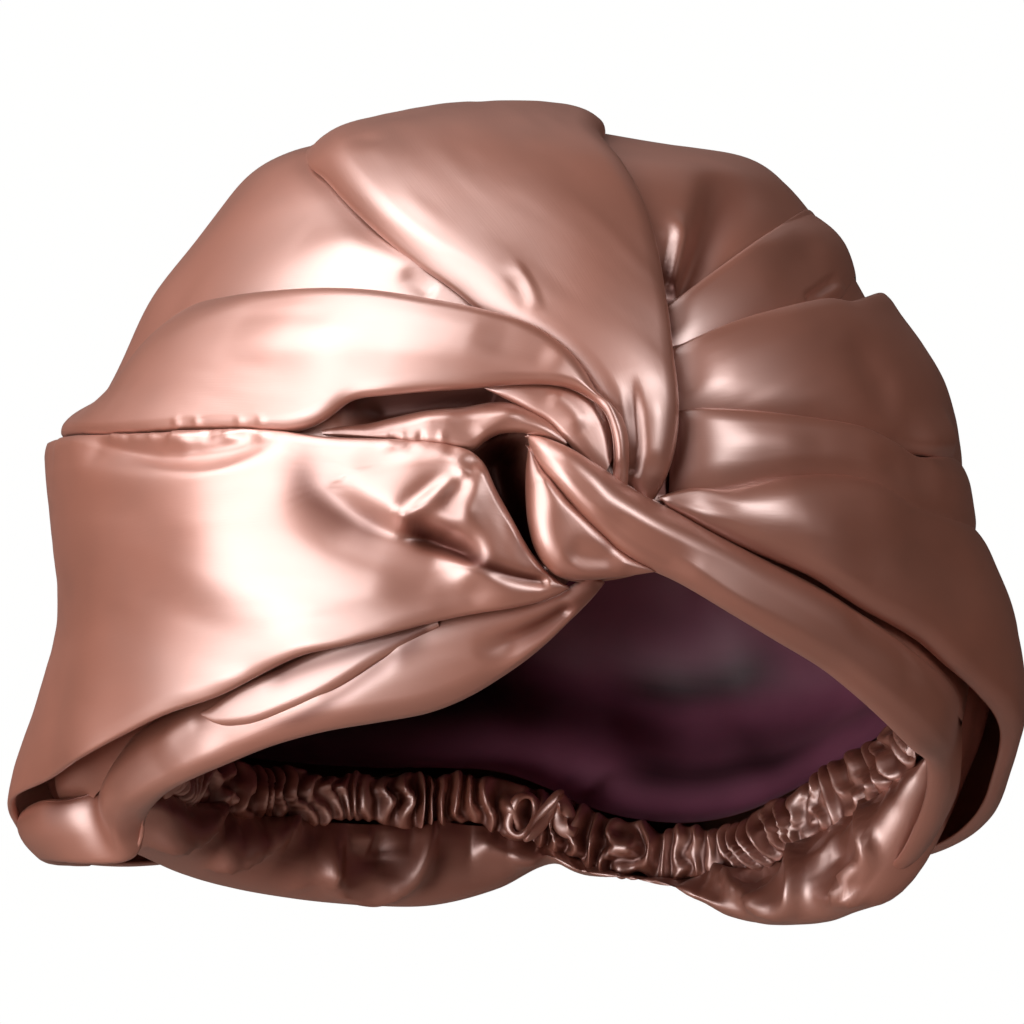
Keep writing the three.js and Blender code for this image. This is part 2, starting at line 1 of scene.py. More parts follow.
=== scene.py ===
"""Looks of the twist-front satin hair wrap, in its worn form.

Every layer of cloth is laid over the same rounded form that the solids are laid over. Shapes are worked
out in millimetres in the part's own frame, +Z up with the face side towards -Y, and become metres when
their mesh is made. Left and right are as someone facing the wearer sees them, with right at +X.
"""

import logging
import math
from dataclasses import dataclass, field
from enum import Enum

import bmesh
import bpy
import numpy as np
from bpy.types import ID, Material, Node, NodeSocket, NodeTree, Object
from mathutils import Matrix


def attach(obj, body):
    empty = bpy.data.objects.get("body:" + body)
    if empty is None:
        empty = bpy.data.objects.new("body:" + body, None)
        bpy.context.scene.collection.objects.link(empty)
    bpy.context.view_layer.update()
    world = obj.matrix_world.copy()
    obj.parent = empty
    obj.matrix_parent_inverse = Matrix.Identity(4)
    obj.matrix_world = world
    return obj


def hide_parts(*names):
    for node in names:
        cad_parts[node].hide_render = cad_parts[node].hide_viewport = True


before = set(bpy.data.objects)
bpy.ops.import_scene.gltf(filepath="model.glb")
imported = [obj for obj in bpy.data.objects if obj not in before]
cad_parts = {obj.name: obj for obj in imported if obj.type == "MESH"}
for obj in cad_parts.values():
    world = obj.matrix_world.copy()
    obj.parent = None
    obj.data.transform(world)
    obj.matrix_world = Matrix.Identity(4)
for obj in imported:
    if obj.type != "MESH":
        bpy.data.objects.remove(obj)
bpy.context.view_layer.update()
LOG = logging.getLogger("hair_wrap")
Array = np.ndarray
Point = tuple[float, ...]

MM = 0.001  # metres in a millimetre
BODY = "root"
PASSES = 12  # rounds that settle a point on the form
CENTRE = np.array([0.0, 0.0, 40.0])  # layout centre that heights are measured from, mm
CLOTH = 0.9  # thickness of a doubled layer of satin, mm


# ------------ numbers
def read_table(keys: Array | Point, values: Array, x: Array) -> Array:
    """Smooth reading of a table: a cubic between rows with the slopes of their neighbours' chords.

    Args:
        keys: rising row keys, shape (n,).
        values: row values, shape (n,) or (n, k).
        x: where to read, any shape.

    Returns:
        Values of shape x.shape, with k added at the end where the table has columns.
    """
    keys = np.asarray(keys, float)
    at = np.clip(x, keys[0], keys[-1])
    i = np.clip(np.searchsorted(keys, at, side="right") - 1, 0, len(keys) - 2)
    low, high = np.maximum(np.arange(len(keys)) - 1, 0), np.minimum(np.arange(len(keys)) + 1, len(keys) - 1)
    gap = keys[high] - keys[low]
    span = keys[i + 1] - keys[i]
    t = (at - keys[i]) / span
    if values.ndim > 1:
        gap, span, t = gap[:, None], span[..., None], t[..., None]
    slope = (values[high] - values[low]) / gap
    rise = values[i + 1] - values[i]
    start, end = slope[i] * span, slope[i + 1] * span
    return values[i] + t * (start + t * (3 * rise - 2 * start - end + t * (start + end - 2 * rise)))


def spacing(points: Array, axis: int = 0) -> Array:
    """Distances between neighbouring points along an axis."""
    return np.linalg.norm(np.diff(points, axis=axis), axis=-1)


def running(steps: Array, axis: int = 0) -> Array:
    """Running sum of steps along an axis, with a 0 before it."""
    return np.insert(np.cumsum(steps, axis=axis), 0, 0, axis=axis)


def smoothstep(x: Array, low: float, high: float) -> Array:
    """Soft step from 0 at low to 1 at high: t squared times (3 - 2t)."""
    t = np.clip((x - low) / (high - low), 0, 1)
    return t * t * (3 - 2 * t)


def softened(rows: Array, reach: float, wraps: bool = False) -> Array:
    """Rows of numbers smoothed along their first axis by a bell curve.

    Args:
        rows: numbers, shape (n, ...).
        reach: spread of the bell curve, in rows.
        wraps: whether the last row is followed by the first.

    Returns:
        Smoothed rows; where they don't wrap the end rows stay as they were.
    """
    steps = np.arange(-math.ceil(3 * reach), math.ceil(3 * reach) + 1)
    bell = np.exp(-0.5 * (steps / reach) ** 2)
    bell /= bell.sum()
    count = len(rows)
    out = np.zeros_like(rows, dtype=float)
    for step, share in zip(steps, bell):
        index = np.arange(count) + step
        if wraps:
            out += share * rows[index % count]
            continue
        inside = rows[np.clip(index, 0, count - 1)]
        before = 2 * rows[0] - rows[np.clip(-index, 0, count - 1)]
        after = 2 * rows[-1] - rows[np.clip(2 * (count - 1) - index, 0, count - 1)]
        side = (index < 0).reshape((-1,) + (1,) * (rows.ndim - 1))
        past = (index >= count).reshape((-1,) + (1,) * (rows.ndim - 1))
        out += share * np.where(side, before, np.where(past, after, inside))
    return out


def cloud(x: Array, y: Array, seed: int) -> Array:
    """Soft noise between -1 and 1 that changes over a distance of about 1.

    Random numbers stand on a square lattice, and a point reads the four round it by soft steps.

    Args:
        x: distance one way.
        y: distance the other way, shaped as x.
        seed: which noise.

    Returns:
        Noise, shaped as x.
    """
    lattice = np.random.default_rng(seed).uniform(-1, 1, (64, 64))
    i, j = np.floor(x).astype(int), np.floor(y).astype(int)
    u, v = smoothstep(x - i, 0, 1), smoothstep(y - j, 0, 1)
    near = lattice[i % 64, j % 64] * (1 - u) + lattice[(i + 1) % 64, j % 64] * u
    far = lattice[i % 64, (j + 1) % 64] * (1 - u) + lattice[(i + 1) % 64, (j + 1) % 64] * u
    return near * (1 - v) + far * v


# ------------ the form
@dataclass(frozen=True)
class Form:
    """Rounded form that carries the cloth: its radius by tilt above the horizontal, on four sides, in mm."""

    tilt: Point = (-60, -45, -35, -30, -25, -18, -10, 0, 12, 20, 32, 45, 56, 63, 72, 90)
    front: Point = (104, 104, 104, 104, 104, 104, 104, 104, 104, 104, 103, 103, 102, 101, 99.5, 98)
    right: Point = (108, 116, 124, 126, 124, 120, 113, 105, 103, 103, 101, 104, 107, 103.5, 99.5, 98)
    back: Point = (104, 117, 125, 126, 125, 123, 120, 118, 117, 116, 113, 110, 106, 104, 101, 98)
    left: Point = (106, 113, 128, 133, 126, 115, 107, 106, 107, 102, 100, 103, 106.5, 104.5, 100, 98)

    def radius(self, units: Array) -> Array:
        """Radius along unit vectors: an ellipse in plan between the front or back and the side.

        Args:
            units: unit vectors, shape (..., 3).

        Returns:
            Radii, shape (...).
        """
        tilt = np.degrees(np.arcsin(np.clip(units[..., 2], -1, 1)))
        turn = np.arctan2(units[..., 0], -units[..., 1])
        table = np.array([self.front, self.right, self.back, self.left], float).T
        sides = read_table(self.tilt, table, tilt)
        along = np.where(units[..., 1] < 0, sides[..., 0], sides[..., 2])
        across = np.where(units[..., 0] > 0, sides[..., 1], sides[..., 3])
        return 1 / np.hypot(np.cos(turn) / along, np.sin(turn) / across)

    def place(self, units: Array, lift: Array | float) -> Array:
        """Points a height outside the form along unit vectors."""
        return CENTRE + units * (self.radius(units) + lift)[..., None]

    def under(self, grid: Array) -> Array:
        """The form's own points in the directions of a grid's points from the layout centre."""
        return self.place(unit_vectors(grid - CENTRE), 0)

    def toward(self, point: Point, lift: float) -> Array:
        """Direction of a table point.

        Args:
            point: (x, z) on the face side, or (x, y, z) anywhere.
            lift: height outside the form at which (x, z) is carried back.

        Returns:
            Unit vector from the layout centre.
        """
        if len(point) == 3:
            ray = np.array(point, float) - CENTRE
            return ray / np.linalg.norm(ray)
        x, up = point[0], point[1] - CENTRE[2]
        unit = np.array([x, -60.0, up]) / math.hypot(x, 60, up)  # first guess, then settled
        for _ in range(PASSES):
            reach = float(self.radius(unit)) + lift
            ray = np.array([x, -math.sqrt(max(reach**2 - x * x - up * up, 1.0)), up])
            unit = ray / np.linalg.norm(ray)
        return unit

    def level_radius(self, turn: Array, height: Array) -> Array:
        """Level distance from the middle out to the form at a height.

        Each pass takes the form's radius at the tilt that the last distance gives, and the new distance is
        the root of that radius squared less the height squared.

        Args:
            turn: turns from the front in degrees, shape (n,).
            height: heights in mm, shape (n,).

        Returns:
            Distances in mm, shape (n,).
        """
        level, up = np.full_like(turn, 100.0), height - CENTRE[2]
        for _ in range(PASSES):
            units = direction(turn, np.degrees(np.arctan2(up, level)))
            level = np.sqrt(np.maximum(self.radius(units) ** 2 - up**2, 0))
        return level


def unit_vectors(vectors: Array) -> Array:
    """Vectors divided by their lengths."""
    return vectors / np.linalg.norm(vectors, axis=-1, keepdims=True)


def direction(turn: Array, tilt: Array) -> Array:
    """Unit vectors: cos(tilt) along (sin(turn), -cos(turn)) on the level, and sin(tilt) up.

    Args:
        turn: turns from the front in degrees, positive towards +X.
        tilt: tilts above the horizontal in degrees, shaped as turn.

    Returns:
        Unit vectors, with an axis of 3 added to that shape.
    """
    turn, tilt = np.radians(turn), np.radians(tilt)
    level = np.cos(tilt)
    return np.stack([level * np.sin(turn), -level * np.cos(turn), np.sin(tilt) + 0 * turn], axis=-1)


FORM = Form()


# ------------ meshes
def grid_normals(grid: Array, wraps: bool) -> Array:
    """Unit normals of a grid of points: the cross product of its two central differences.

    Args:
        grid: points, shape (columns, rows, 3).
        wraps: whether the last column is followed by the first.

    Returns:
        Normals shaped as the grid, pointing away from the layout centre at its middle.
    """
    if wraps:
        along = np.roll(grid, -1, axis=0) - np.roll(grid, 1, axis=0)
    else:
        along = np.gradient(grid, axis=0)
    normals = np.cross(along, np.gradient(grid, axis=1))
    length = np.linalg.norm(normals, axis=-1, keepdims=True)
    normals = np.where(length > 1e-9, normals / np.maximum(length, 1e-9), unit_vectors(grid - CENTRE))
    return normals * outward_sign(grid, normals)


def outward_sign(grid: Array, normals: Array) -> float:
    """1 where normals point away from the layout centre over most of a grid, else -1."""
    return 1.0 if np.sum(normals * (grid - CENTRE)) > 0 else -1.0


def runs_inwards(grid: Array) -> bool:
    """Whether a grid's quads face the layout centre when their corners are taken along, then across."""
    first = grid[:-1, :-1]
    return outward_sign(first, np.cross(grid[1:, :-1] - first, grid[:-1, 1:] - first)) < 0


def grid_faces(columns: int, rows: int, wraps: bool, flipped: bool) -> Array:
    """Corner numbers of a grid's quads, with vertex (i, j) at i * rows + j.

    Args:
        columns: points along the grid.
        rows: points across it.
        wraps: whether the last column is followed by the first.
        flipped: whether the corners run the other way round.

    Returns:
        Corner numbers, shape (quads, 4).
    """
    count = columns if wraps else columns - 1
    i, j = np.meshgrid(np.arange(count), np.arange(rows - 1), indexing="ij")
    k = (i + 1) % columns
    quads = np.stack([i * rows + j, k * rows + j, k * rows + j + 1, i * rows + j + 1], axis=-1)
    return quads.reshape(-1, 4)[:, ::-1] if flipped else quads.reshape(-1, 4)


def cloth_lengths(grid: Array) -> Array:
    """Distance along and across the cloth at each grid point, in units of 100 mm.

    Along is the running length of the grid's middle row, and across is each column's from its own middle.

    Args:
        grid: points in mm, shape (columns, rows, 3).

    Returns:
        Both distances, shape (columns, rows, 2).
    """
    along = running(spacing(grid[:, grid.shape[1] // 2]))
    across = running(spacing(grid, 1), 1)
    across -= across[:, -1:] / 2
    return np.stack([np.repeat(along[:, None], grid.shape[1], axis=1), across], axis=-1) / 100


def add_object(name: str, data: ID) -> Object:
    """Adds an object to the scene.

    Args:
        name: its name.
        data: its mesh, light or camera.

    Returns:
        The object.
    """
    made = bpy.data.objects.new(name, data)
    bpy.context.scene.collection.objects.link(made)
    return made


def new_piece(
    name: str, points: Array, faces: Array, lengths: Array, material: Material, shade: Array | None = None,
) -> Object:
    """Smooth mesh object of quads with a UV map of cloth lengths.

    Args:
        name: the object's name.
        points: vertices in mm, shape (n, 3).
        faces: corner numbers, shape (m, 4).
        lengths: cloth lengths at the vertices, shape (n, 2).
        material: its material.
        shade: painted shade at the vertices, from 0 to 1, shape (n,).

    Returns:
        The object, linked to the scene, at the origin.
    """
    mesh = bpy.data.meshes.new(name)
    mesh.from_pydata((points * MM).tolist(), [], faces.tolist())
    mesh.polygons.foreach_set("use_smooth", np.ones(len(mesh.polygons), bool))
    corners = np.empty(len(mesh.loops), np.int32)
    mesh.loops.foreach_get("vertex_index", corners)
    mesh.uv_layers.new(name="cloth").data.foreach_set("uv", lengths[corners].ravel())
    # painted shade in folds, kept as the shade attribute that the finish darkens by
    painted_shade = np.zeros(len(points)) if shade is None else shade
    mesh.attributes.new("shade", "FLOAT", "POINT").data.foreach_set("value", painted_shade.astype(np.float32))
    mesh.materials.append(material)
    mesh.validate()
    return add_object(name, mesh)


def single_layer(
    name: str, grid: Array, wraps: bool, material: Material, shade: Array | None = None,
) -> Object:
    """One layer of cloth with its faces outwards.

    Args:
        name: the object's name.
        grid: points in mm, shape (columns, rows, 3).
        wraps: whether the last column is followed by the first.
        material: its material.
        shade: painted shade in folds, from 0 to 1, shape (columns, rows).

    Returns:
        The object.
    """
    lengths = cloth_lengths(grid).reshape(-1, 2)
    faces = grid_faces(*grid.shape[:2], wraps, runs_inwards(grid))
    return new_piece(name, grid.reshape(-1, 3), faces, lengths, material, None if shade is None else shade.ravel())


def doubled_layer(
    name: str, grid: Array, wall: float, material: Material, shade: Array,
) -> Object:
    """Closed shell between a grid of outer points and the same points moved in along their normals.

    Args:
        name: the object's name.
        grid: outer points in mm, shape (columns, rows, 3).
        wall: thickness in mm.
        material: its material.
        shade: painted shade in folds, from 0 to 1, shape (columns, rows).

    Returns:
        The closed object, with its rims joined.
    """
    columns, rows = grid.shape[:2]
    count = columns * rows
    inner = grid - wall * grid_normals(grid, False)
    flipped = runs_inwards(grid)
    skin = grid_faces(columns, rows, False, flipped)
    back = grid_faces(columns, rows, False, not flipped) + count
    i, j = np.arange(columns - 1), np.arange(rows - 1)
    first, last = i * rows, i * rows + rows - 1
    end = (columns - 1) * rows
    rims = [
        np.stack([first, first + count, first + rows + count, first + rows], axis=-1),
        np.stack([last, last + rows, last + rows + count, last + count], axis=-1),
        np.stack([j, j + 1, j + 1 + count, j + count], axis=-1),
        np.stack([end + j, end + j + count, end + j + 1 + count, end + j + 1], axis=-1),
    ]
    rim = np.concatenate(rims)
    rim = rim[:, ::-1] if flipped else rim
    lengths = cloth_lengths(grid).reshape(-1, 2)
    points = np.concatenate([grid.reshape(-1, 3), inner.reshape(-1, 3)])
    faces = np.concatenate([skin, back, rim])
    return new_piece(name, points, faces, np.tile(lengths, (2, 1)), material, np.tile(shade.ravel(), 2))


# ------------ finishes
def fill(node: Node, inputs: dict[str | int, object]) -> None:
    """Fills a node's inputs: another node's output is linked in, and any other value is written there.

    Args:
        node: the node.
        inputs: an output or a value for each input, by its name or number.
    """
    for name, value in inputs.items():
        if isinstance(value, NodeSocket):
            node.id_data.links.new(value, node.inputs[name])
        else:
            node.inputs[name].default_value = value


def add_node(
    tree: NodeTree, kind: str, output: str, inputs: dict[str | int, object] | None = None, **settings: str,
) -> NodeSocket:
    """Adds a shader node with its settings made and its inputs filled.

    Args:
        tree: the node tree.
        kind: the node's type without ShaderNode.
        output: name of the output that is used.
        inputs: what goes into it, as fill takes it.
        settings: the node's own settings.

    Returns:
        That output.
    """
    node = tree.nodes.new("ShaderNode" + kind)
    for name, value in settings.items():
        setattr(node, name, value)
    fill(node, inputs or {})
    return node.outputs[output]


@dataclass(frozen=True)
class Satin:
    """A satin finish: two near colours that drift over the cloth, a soft gloss and a fine thread streak.

    Where shade is painted in its folds, the cloth turns to its painted shade colour and loses its gloss.
    """

    name: str
    light: Point  # the two near colours, linear red, green and blue
    dark: Point
    # colour that the painted shade in folds darkens the cloth towards
    painted_shade: Point
    metallic: float
    roughness: float
    sheen: float
    ior: float
    gloss_ior: float  # of the white gloss over the cloth
    gloss_roughness: float
    threads: Point = (8.0, 260.0)  # streaks per 100 mm along and across the cloth
    drift_scale: float = 22.0  # of the colour's drift, per metre
    drift_range: Point = (0.35, 0.65)  # noise values that read as all dark and all light
    streak: float = 0.03  # how far the threads move the roughness either way
    thread_height: float = 0.00003  # metres
    thread_strength: float = 0.5
    sheen_roughness: float = 0.45
    sheen_tint: Point = (1.0, 0.86, 0.82)

    def material(self) -> Material:
        """Node material of this finish, made once and then shared.

        Returns:
            The material.
        """
        known = bpy.data.materials.get(self.name)
        if known:
            return known
        made = bpy.data.materials.new(self.name)
        made.use_nodes = True
        tree = made.node_tree
        threads = add_node(tree, "TexNoise", "Fac", {
            "Vector": add_node(tree, "Mapping", "Vector", {
                "Vector": add_node(tree, "UVMap", "UV", uv_map="cloth"), "Scale": (*self.threads, 1.0)}),
            "Scale": 1.0, "Detail": 2.0,
        })
        drift = add_node(tree, "TexNoise", "Fac", {
            "Vector": add_node(tree, "TexCoord", "Object"), "Scale": self.drift_scale, "Detail": 3.0})
        low, high = self.drift_range
        colour = add_node(tree, "Mix", "Result", {
            "A": (*self.dark, 1), "B": (*self.light, 1),
            "Factor": add_node(tree, "MapRange", "Result", {"Value": drift, "From Min": low, "From Max": high}),
        }, data_type="RGBA")
        # painted shade: the shade attribute darkens the base colour towards the painted shade colour and takes the coat
        # gloss away where shade falls in folds
        fold = add_node(tree, "Attribute", "Fac", attribute_name="shade")
        bump = add_node(tree, "Bump", "Normal", {
            "Height": threads, "Strength": self.thread_strength, "Distance": self.thread_height})
        fill(tree.nodes["Principled BSDF"], {
            "Base Color": add_node(tree, "Mix", "Result", {
                "A": colour, "B": (*self.painted_shade, 1), "Factor": fold}, data_type="RGBA"),
            "Metallic": self.metallic,
            "Roughness": add_node(tree, "MapRange", "Result", {
                "Value": threads, "To Min": self.roughness - self.streak, "To Max": self.roughness + self.streak}),
            "IOR": self.ior,
            "Coat Weight": add_node(tree, "MapRange", "Result", {"Value": fold, "To Min": 1.0, "To Max": 0.0}),
            "Coat Roughness": self.gloss_roughness,
            "Coat IOR": self.gloss_ior,
            "Sheen Weight": self.sheen,
            "Sheen Roughness": self.sheen_roughness,
            "Sheen Tint": (*self.sheen_tint, 1),
            "Normal": bump,
            "Coat Normal": bump,
        })
        return made


# each finish's third colour is the colour of its painted shade in folds
ROSE = Satin(
    name="rose_satin_cloth", light=(0.430, 0.130, 0.074), dark=(0.345, 0.103, 0.057), painted_shade=(0.090, 0.018, 0.010),
    metallic=0.5, roughness=0.47, sheen=0.02, ior=1.5, gloss_ior=2.5, gloss_roughness=0.41,
)
PLUM = Satin(
    name="plum_lining_cloth", light=(0.290, 0.084, 0.145), dark=(0.160, 0.043, 0.077), painted_shade=(0.010, 0.002, 0.003),
    metallic=0.0, roughness=0.50, sheen=0.03, ior=1.45, gloss_ior=1.2, gloss_roughness=0.40,
)


# ------------ panels
class Held(Enum):
    """How a piece of cloth is held."""

    STRETCHED = "stretched"
    GATHERED = "gathered"
    FOLDED = "folded"


def both_ends(value: float | Point) -> Point:
    """A first and a last number, from a pair or from the one number that stands for both."""
    return (value, value) if isinstance(value, (int, float)) else value


@dataclass(frozen=True)
class Fold:
    """A ridge (height above 0) or a valley (below 0) along a route over the cloth.

    Its section is a bell curve, height * exp(-(distance / width) squared), whose left and right sides along
    the route may differ in width; a narrow side makes a crease. A width is one number, or a first and a last
    between which it runs evenly.
    """

    route: list[Point]
    height: float
    left: float | Point  # widths in mm
    right: float | Point
    fade: float | Point = 0.3  # shares of the route over which it comes in and goes out

    def heights(self, level_points: Array, level: float) -> Array:
        """Height that the fold adds at points of cloth that stand one level height over the form.

        Args:
            level_points: the cloth's points at that height, shape (..., 3).
            level: the height in mm.

        Returns:
            Heights in mm, shape (...).
        """
        units = np.array([FORM.toward(point, level) for point in self.route])
        return self.along(level_points, FORM.place(units, level), units)

    def along(self, points: Array, knots: Array, outward: Array) -> Array:
        """Height that the fold adds at points near a line through knots on the same cloth.

        Args:
            points: the cloth's points in mm, shape (..., 3).
            knots: places that the fold runs through, shape (n, 3).
            outward: unit normals of the cloth there, shape (n, 3).

        Returns:
            Heights in mm, shape (...).
        """
        steps = running(spacing(knots))
        at = np.linspace(0, steps[-1], 6 * len(knots))
        line, facing_out = read_table(steps, knots, at), read_table(steps, outward, at)
        left, right, fade = both_ends(self.left), both_ends(self.right), both_ends(self.fade)
        reach = 2.6 * max(*left, *right)  # beyond it the bell curve is nothing
        out = np.zeros(points.shape[:-1])
        low, high = line.min(axis=0) - reach, line.max(axis=0) + reach
        near = np.all((points > low) & (points < high), axis=-1)
        close = points[near]
        if not len(close):
            return out
        best = np.full(len(close), np.inf)
        side, share = np.zeros(len(close)), np.zeros(len(close))
        total = len(line) - 1
        for k in range(total):
            start, along = line[k], line[k + 1] - line[k]
            length = float(along @ along)
            t = np.clip((close - start) @ along / length, 0, 1)
            off = close - start - t[:, None] * along
            square = np.einsum("ij,ij->i", off, off)
            closer = square < best
            best = np.where(closer, square, best)
            side = np.where(closer, off @ np.cross(facing_out[k], along), side)
            share = np.where(closer, (k + t) / total, share)
        widths = [first + (last - first) * share for first, last in (left, right)]
        width = np.where(side > 0, *widths)
        ends = smoothstep(share, 0, max(fade[0], 1e-3)) * smoothstep(1 - share, 0, max(fade[1], 1e-3))
        out[near] = self.height * np.exp(-best / width**2) * ends
        return out


def even(route: list[Point], height: float, width: float | Point, fade: float | Point = 0.3) -> Fold:
    """A fold whose two sides are alike."""
    return Fold(route, height, width, width, fade)


def shade_of(level_points: Array, level: float, folds: list[Fold]) -> Array:
    """Painted shade in folds: the shade folds' heights added up, at least 0 and at most 1.

    Args:
        level_points: the cloth's points at one height over the form, shape (..., 3).
        level: the height in mm.
        folds: where shade is painted.

    Returns:
        Painted shade from 0 to 1, shape (...).
    """
    total = np.zeros(level_points.shape[:-1])
    for fold in folds:
        total += fold.heights(level_points, level)
    return np.clip(total, 0, 1)


OWN = math.inf  # lift of a station whose two points stand where their three numbers say
LIP_ROWS = 8  # rows of points round a panel's lip


@dataclass(frozen=True)
class Station:
    """One place along a panel: a point on each long edge, and the section there in mm.

    The panel's face is lift above the form and belly more in the middle. It comes down by drop over a
    width roll at either edge, and ends in a small lip of radius lip that turns under. At the b edge it
    stands flare further out. None stands for the panel's own value.
    """

    a: Point
    b: Point
    lift: float | None = None
    belly: float | None = None
    roll_a: float | None = None
    drop_a: float | None = None
    roll_b: float | None = None
    drop_b: float | None = None
    flare: float = 0.0


@dataclass
class Panel:
    """A panel of cloth laid over the form through its stations."""

    name: str
    stations: list[Station]
    folds: list[Fold] = field(default_factory=list)
    shades: list[Fold] = field(default_factory=list)  # where painted shade darkens it; a height is a share up to 1
    lift: float = 4.0
    belly: float = 1.0
    roll_a: float = 6.0
    drop_a: float = 2.0
    roll_b: float = 6.0
    drop_b: float = 2.0
    lip_a: float = 1.2
    lip_b: float = 1.2
    turn_a: float = 150.0  # degrees that the lip turns under at the a edge
    turn_b: float = 150.0
    doubled: bool = False
    columns: int = 200
    face_rows: int = 70
    gathers: float = 0.0  # height of the small gathers along the a edge
    crumple: float = 0.25  # height of the broad unevenness of the cloth
    seed: int = 1
    lowest: float = 0.5  # the cloth comes no nearer to the form than this
    finish: Satin = ROSE
    held: Held = Held.FOLDED
    flat: Point = (0.1, 0.1)  # size it was cut to, metres
    rests_on: tuple[str, ...] = ("crown_cloth",)
    soften: float = 2.0  # how far the stations are smoothed, in columns

    def rows_along(self) -> tuple[Array, Array, Array]:
        """The stations read at evenly spaced columns.

        Returns:
            Unit vectors of the a edge and of the b edge, each (columns, 3), and the section's numbers
            (columns, 7) in the order lift at a, lift at b, belly, roll_a, drop_a, roll_b, drop_b.
        """
        names = ("lift", "lift", "belly", "roll_a", "drop_a", "roll_b", "drop_b")
        section = np.array([
            [getattr(self, name) if getattr(station, name) is None else getattr(station, name) for name in names]
            for station in self.stations
        ], float)
        section[:, 1] += [s.flare for s in self.stations]
        edges = np.empty((len(self.stations), 2, 3))
        for k, station in enumerate(self.stations):
            for side, point in enumerate((station.a, station.b)):
                if math.isinf(section[k, side]):
                    edges[k, side] = point
                    ray = FORM.toward(point, 0)
                    section[k, side] = np.linalg.norm(edges[k, side] - CENTRE) - FORM.radius(ray)
                else:
                    edges[k, side] = FORM.place(FORM.toward(point, section[k, side]), section[k, side])
        keys = running(spacing(edges).mean(axis=1))
        at = np.linspace(0, keys[-1], self.columns)
        joined = np.concatenate([edges.reshape(len(edges), 6), section], axis=1)
        read = softened(read_table(keys, joined, at), self.soften)
        return unit_vectors(read[:, 0:3] - CENTRE), unit_vectors(read[:, 3:6] - CENTRE), read[:, 6:]

    def grid(self) -> tuple[Array, Array]:
        """The panel's outer points and the painted shade at each.

        Across the panel come the a edge's lip, the face and the b edge's lip. A lip is an arc: at angle t
        from the face it is lip * (1 - sin t) in from the edge and lip * (1 - cos t) down. At a share s of the
        width the face stands lift + 4 s (1 - s) belly, less drop * (1 - distance / roll) squared within roll
        of an edge; the folds and the cloth's unevenness are added to that.

        Returns:
            Points in mm, shape (columns, rows, 3), and painted shade from 0 to 1, shape (columns, rows).
        """
        a, b, section = self.rows_along()
        lift_a, lift_b, belly, roll_a, drop_a, roll_b, drop_b = (section[:, k : k + 1] for k in range(7))
        ends = FORM.place(a, lift_a[:, 0]), FORM.place(b, lift_b[:, 0])
        width = np.linalg.norm(ends[1] - ends[0], axis=-1)[:, None]
        small = np.minimum(1, width / (3 * (self.lip_a + self.lip_b) + 1e-6))
        lips = self.lip_a * small, self.lip_b * small
        arc = np.radians(np.linspace(1, 0, LIP_ROWS + 1)[None, :-1])
        down_a, down_b = arc * self.turn_a, arc[:, ::-1] * self.turn_b
        u = np.linspace(0, 1, self.face_rows)[None]
        u = 0.65 * u + 0.35 * (0.5 - 0.5 * np.cos(np.pi * u))  # rows stand closer together at the edges
        face = lips[0] + (width - lips[0] - lips[1]) * u
        across = np.concatenate([lips[0] * (1 - np.sin(down_a)), face, width - lips[1] * (1 - np.sin(down_b))], axis=1)
        lip = np.concatenate(
            [-lips[0] * (1 - np.cos(down_a)), np.zeros_like(face), -lips[1] * (1 - np.cos(down_b))], axis=1)
        s = across / width
        units = unit_vectors(a[:, None] * (1 - s[..., None]) + b[:, None] * s[..., None])
        height = lift_a + (lift_b - lift_a) * s + 4 * s * (1 - s) * belly * np.minimum(width / 25, 1)
        height -= drop_a * np.clip(1 - across / roll_a, 0, 1) ** 2
        height -= drop_b * np.clip(1 - (width - across) / roll_b, 0, 1) ** 2
        height += lip
        level = float(np.median(lift_a))
        level_points = FORM.place(units, level)
        for fold in self.folds:
            height += fold.heights(level_points, level)
        along = np.linspace(0, 1, self.columns)[:, None] * spacing(ends[0]).sum()
        height += self.crumple * cloud(along / 34 + 0 * s, across / 9, self.seed)
        height += 0.25 * self.crumple * cloud(along / 13 + 0 * s, across / 3.5, self.seed + 50)
        if self.gathers:
            phase = cloud(along / 5.5 + 0 * s, across / 30, self.seed + 9)
            height += self.gathers * phase * np.exp(-((across / 7) ** 2))
        height = np.maximum(height, self.lowest + 0.15 * lip)
        # painted shade from the panel's shade folds
        return FORM.place(units, height), shade_of(level_points, level, self.shades)

    def make(self) -> None:
        """The panel's object, riding on the body."""
        grid, shade = self.grid()
        if self.doubled:
            piece = doubled_layer(self.name, grid, CLOTH, self.finish.material(), shade)
        else:
            piece = single_layer(self.name, grid, False, self.finish.material(), shade)
        finished(piece)


def finished(
    piece: Object,
) -> None:
    """Args:
        piece: the cloth; its name is the solid's name and _cloth.
    """
    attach(piece, BODY)
    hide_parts(piece.name.removesuffix("_cloth"))
    LOG.info("%s: %d faces", piece.name, len(piece.data.polygons))


